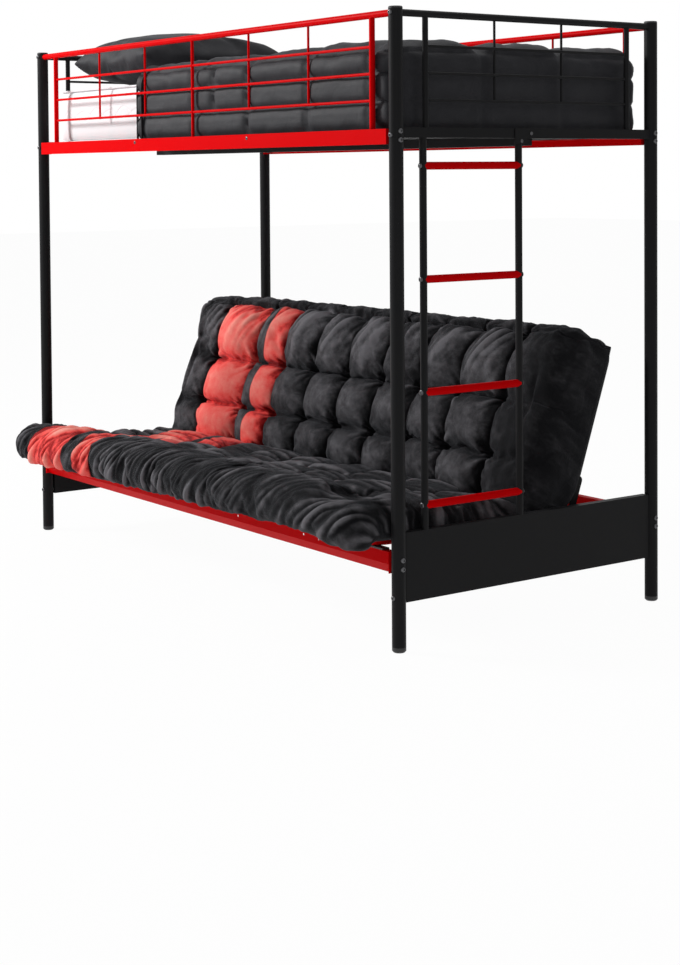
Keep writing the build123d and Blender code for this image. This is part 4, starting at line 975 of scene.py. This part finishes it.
# Pillow: a dark cotton case over a soft filling, lying against the left guard. It is two sheets sewn
# round the edge and blown up, so its corners stay sharp and its seams pucker.
pillow_half_x, pillow_half_y, pillow_rise, pillow_ripple = 0.25, 0.305, 0.064, 0.004
crowding_share_x, crowding_share_y = 0.08, 0.11
pillow_at = Vector((-0.708, -0.085 + middle_y, 1.6640))
pillow_turn = Matrix.Rotation(math.radians(-1), 4, "Y")
pillow_steps = 44
pillow_floor = 1.5660
row = pillow_steps + 1
grid, quads = [], []
for side in (1, -1):
    for j in range(row):
        for i in range(row):
            a, b = 2 * i / pillow_steps - 1, 2 * j / pillow_steps - 1
            lift = side * pillow_rise * ((1 - a * a) * (1 - b * b)) ** 0.5
            lift += pillow_ripple * noise.noise((a * 3, b * 3, side * 4.0))
            if abs(a) == 1 or abs(b) == 1:
                lift = 0
            grid.append((pillow_half_x * a * (1 - crowding_share_x * (1 - a * a)),
                         pillow_half_y * b * (1 - crowding_share_y * (1 - b * b)), lift))
for side in (0, 1):
    for j in range(pillow_steps):
        for i in range(pillow_steps):
            a = side * row ** 2 + j * row + i
            face = (a, a + 1, a + row + 1, a + row)
            quads.append(face if side == 0 else face[::-1])
pillow_mesh = bpy.data.meshes.new("pillow_case")
pillow_mesh.from_pydata(grid, [], quads)
pillow = bpy.data.objects.new("pillow_case", pillow_mesh)
scene.collection.objects.link(pillow)
choose(pillow)
sew_up(0.0002)
pillow.vertex_groups.new(name="sewn")
before, moved = puff_up(pillow, frames=22, pressure=3.0, slack=0.03, stiff=10, bend=0.3, most=0.03)
put_places(pillow, before + moved)
pillow.data.transform(Matrix.Translation(pillow_at) @ pillow_turn)
places = vertex_places(pillow)
places[:, 2] = np.maximum(places[:, 2], pillow_floor)
put_places(pillow, places)
refine(pillow)
settle(pillow, bed_cloth, 180)
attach(pillow, "frame")
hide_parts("pillow")


# Floor, lamps and camera: a pale floor with a soft shadow, a broad lamp from the front left, weak
# ones from the right and from above, and the photograph's viewing angle.
floor_size, floor_shade = 60, (0.9, 0.9, 0.9, 1)
white = (1, 1, 1, 1)
clear_choice()
bpy.ops.mesh.primitive_grid_add(x_subdivisions=4, y_subdivisions=4, size=floor_size, location=(0, 0, 0))
floor = bpy.context.object
floor.name = "studio_floor"
floor_paint = bpy.data.materials.new("studio_floor")
floor_paint.use_nodes = True
start = Socket(floor_paint.node_tree)
links = floor_paint.node_tree.links
matt = floor_paint.node_tree.nodes["Principled BSDF"]
matt.inputs["Base Color"].default_value = floor_shade
matt.inputs["Roughness"].default_value = 0.9


def ray_kinds(start):
    # 1 for a ray from the camera, one off a glossy surface, and one through glass
    return [start.node("LightPath", output=kind) for kind in (0, 3, 6)]


seen, shine, through = ray_kinds(start)
glow = start.node("Emission", {}, {"Color": white, "Strength": 1.0})
mixed = start.node("MixShader", {}, {0: start.reckon("MAXIMUM", seen * 0.97, shine + through)})
links.new(matt.outputs[0], mixed.link.node.inputs[1])
links.new(glow.link, mixed.link.node.inputs[2])
links.new(mixed.link, floor_paint.node_tree.nodes["Material Output"].inputs["Surface"])
floor.data.materials.append(floor_paint)

world = bpy.data.worlds.new("studio")
world.use_nodes = True
scene.world = world
start = Socket(world.node_tree)
lit = world.node_tree.nodes["Background"]
lit.inputs["Color"].default_value = white
seen, shine, through = ray_kinds(start)
room_light, room_white = 0.22, 0.78
strength = start.reckon("MAXIMUM", seen, (shine + through) * 0.6) * room_white + room_light
world.node_tree.links.new(strength.link, lit.inputs["Strength"])


def lamp(name, place, aim, size, power):
    data = bpy.data.lights.new(name, "AREA")
    data.shape, data.size, data.energy = "DISK", size, power
    made = bpy.data.objects.new(name, data)
    made.location = place
    made.rotation_euler = (Vector(aim) - Vector(place)).to_track_quat("-Z", "Y").to_euler()
    scene.collection.objects.link(made)


lamp("key", place=(-3.9, -4.0, 3.5), aim=(0, 0, 0.6), size=1.5, power=340)
lamp("fill", place=(5.0, -2.6, 2.4), aim=(0, 0, 0.8), size=2.5, power=10)
lamp("top", place=(0.5, 1.0, 5.0), aim=(0, 0, 0.5), size=3.0, power=50)

camera_data = bpy.data.cameras.new("camera")
camera_data.lens = 65.54
camera_data.shift_x = 0.07
camera_data.shift_y = -0.2596
camera = bpy.data.objects.new("camera", camera_data)
camera.location = (4.603, -3.3045, 1.267)
camera.rotation_euler = [math.radians(angle) for angle in (88.08, 0.48, 55.394)]
scene.collection.objects.link(camera)
scene.camera = camera
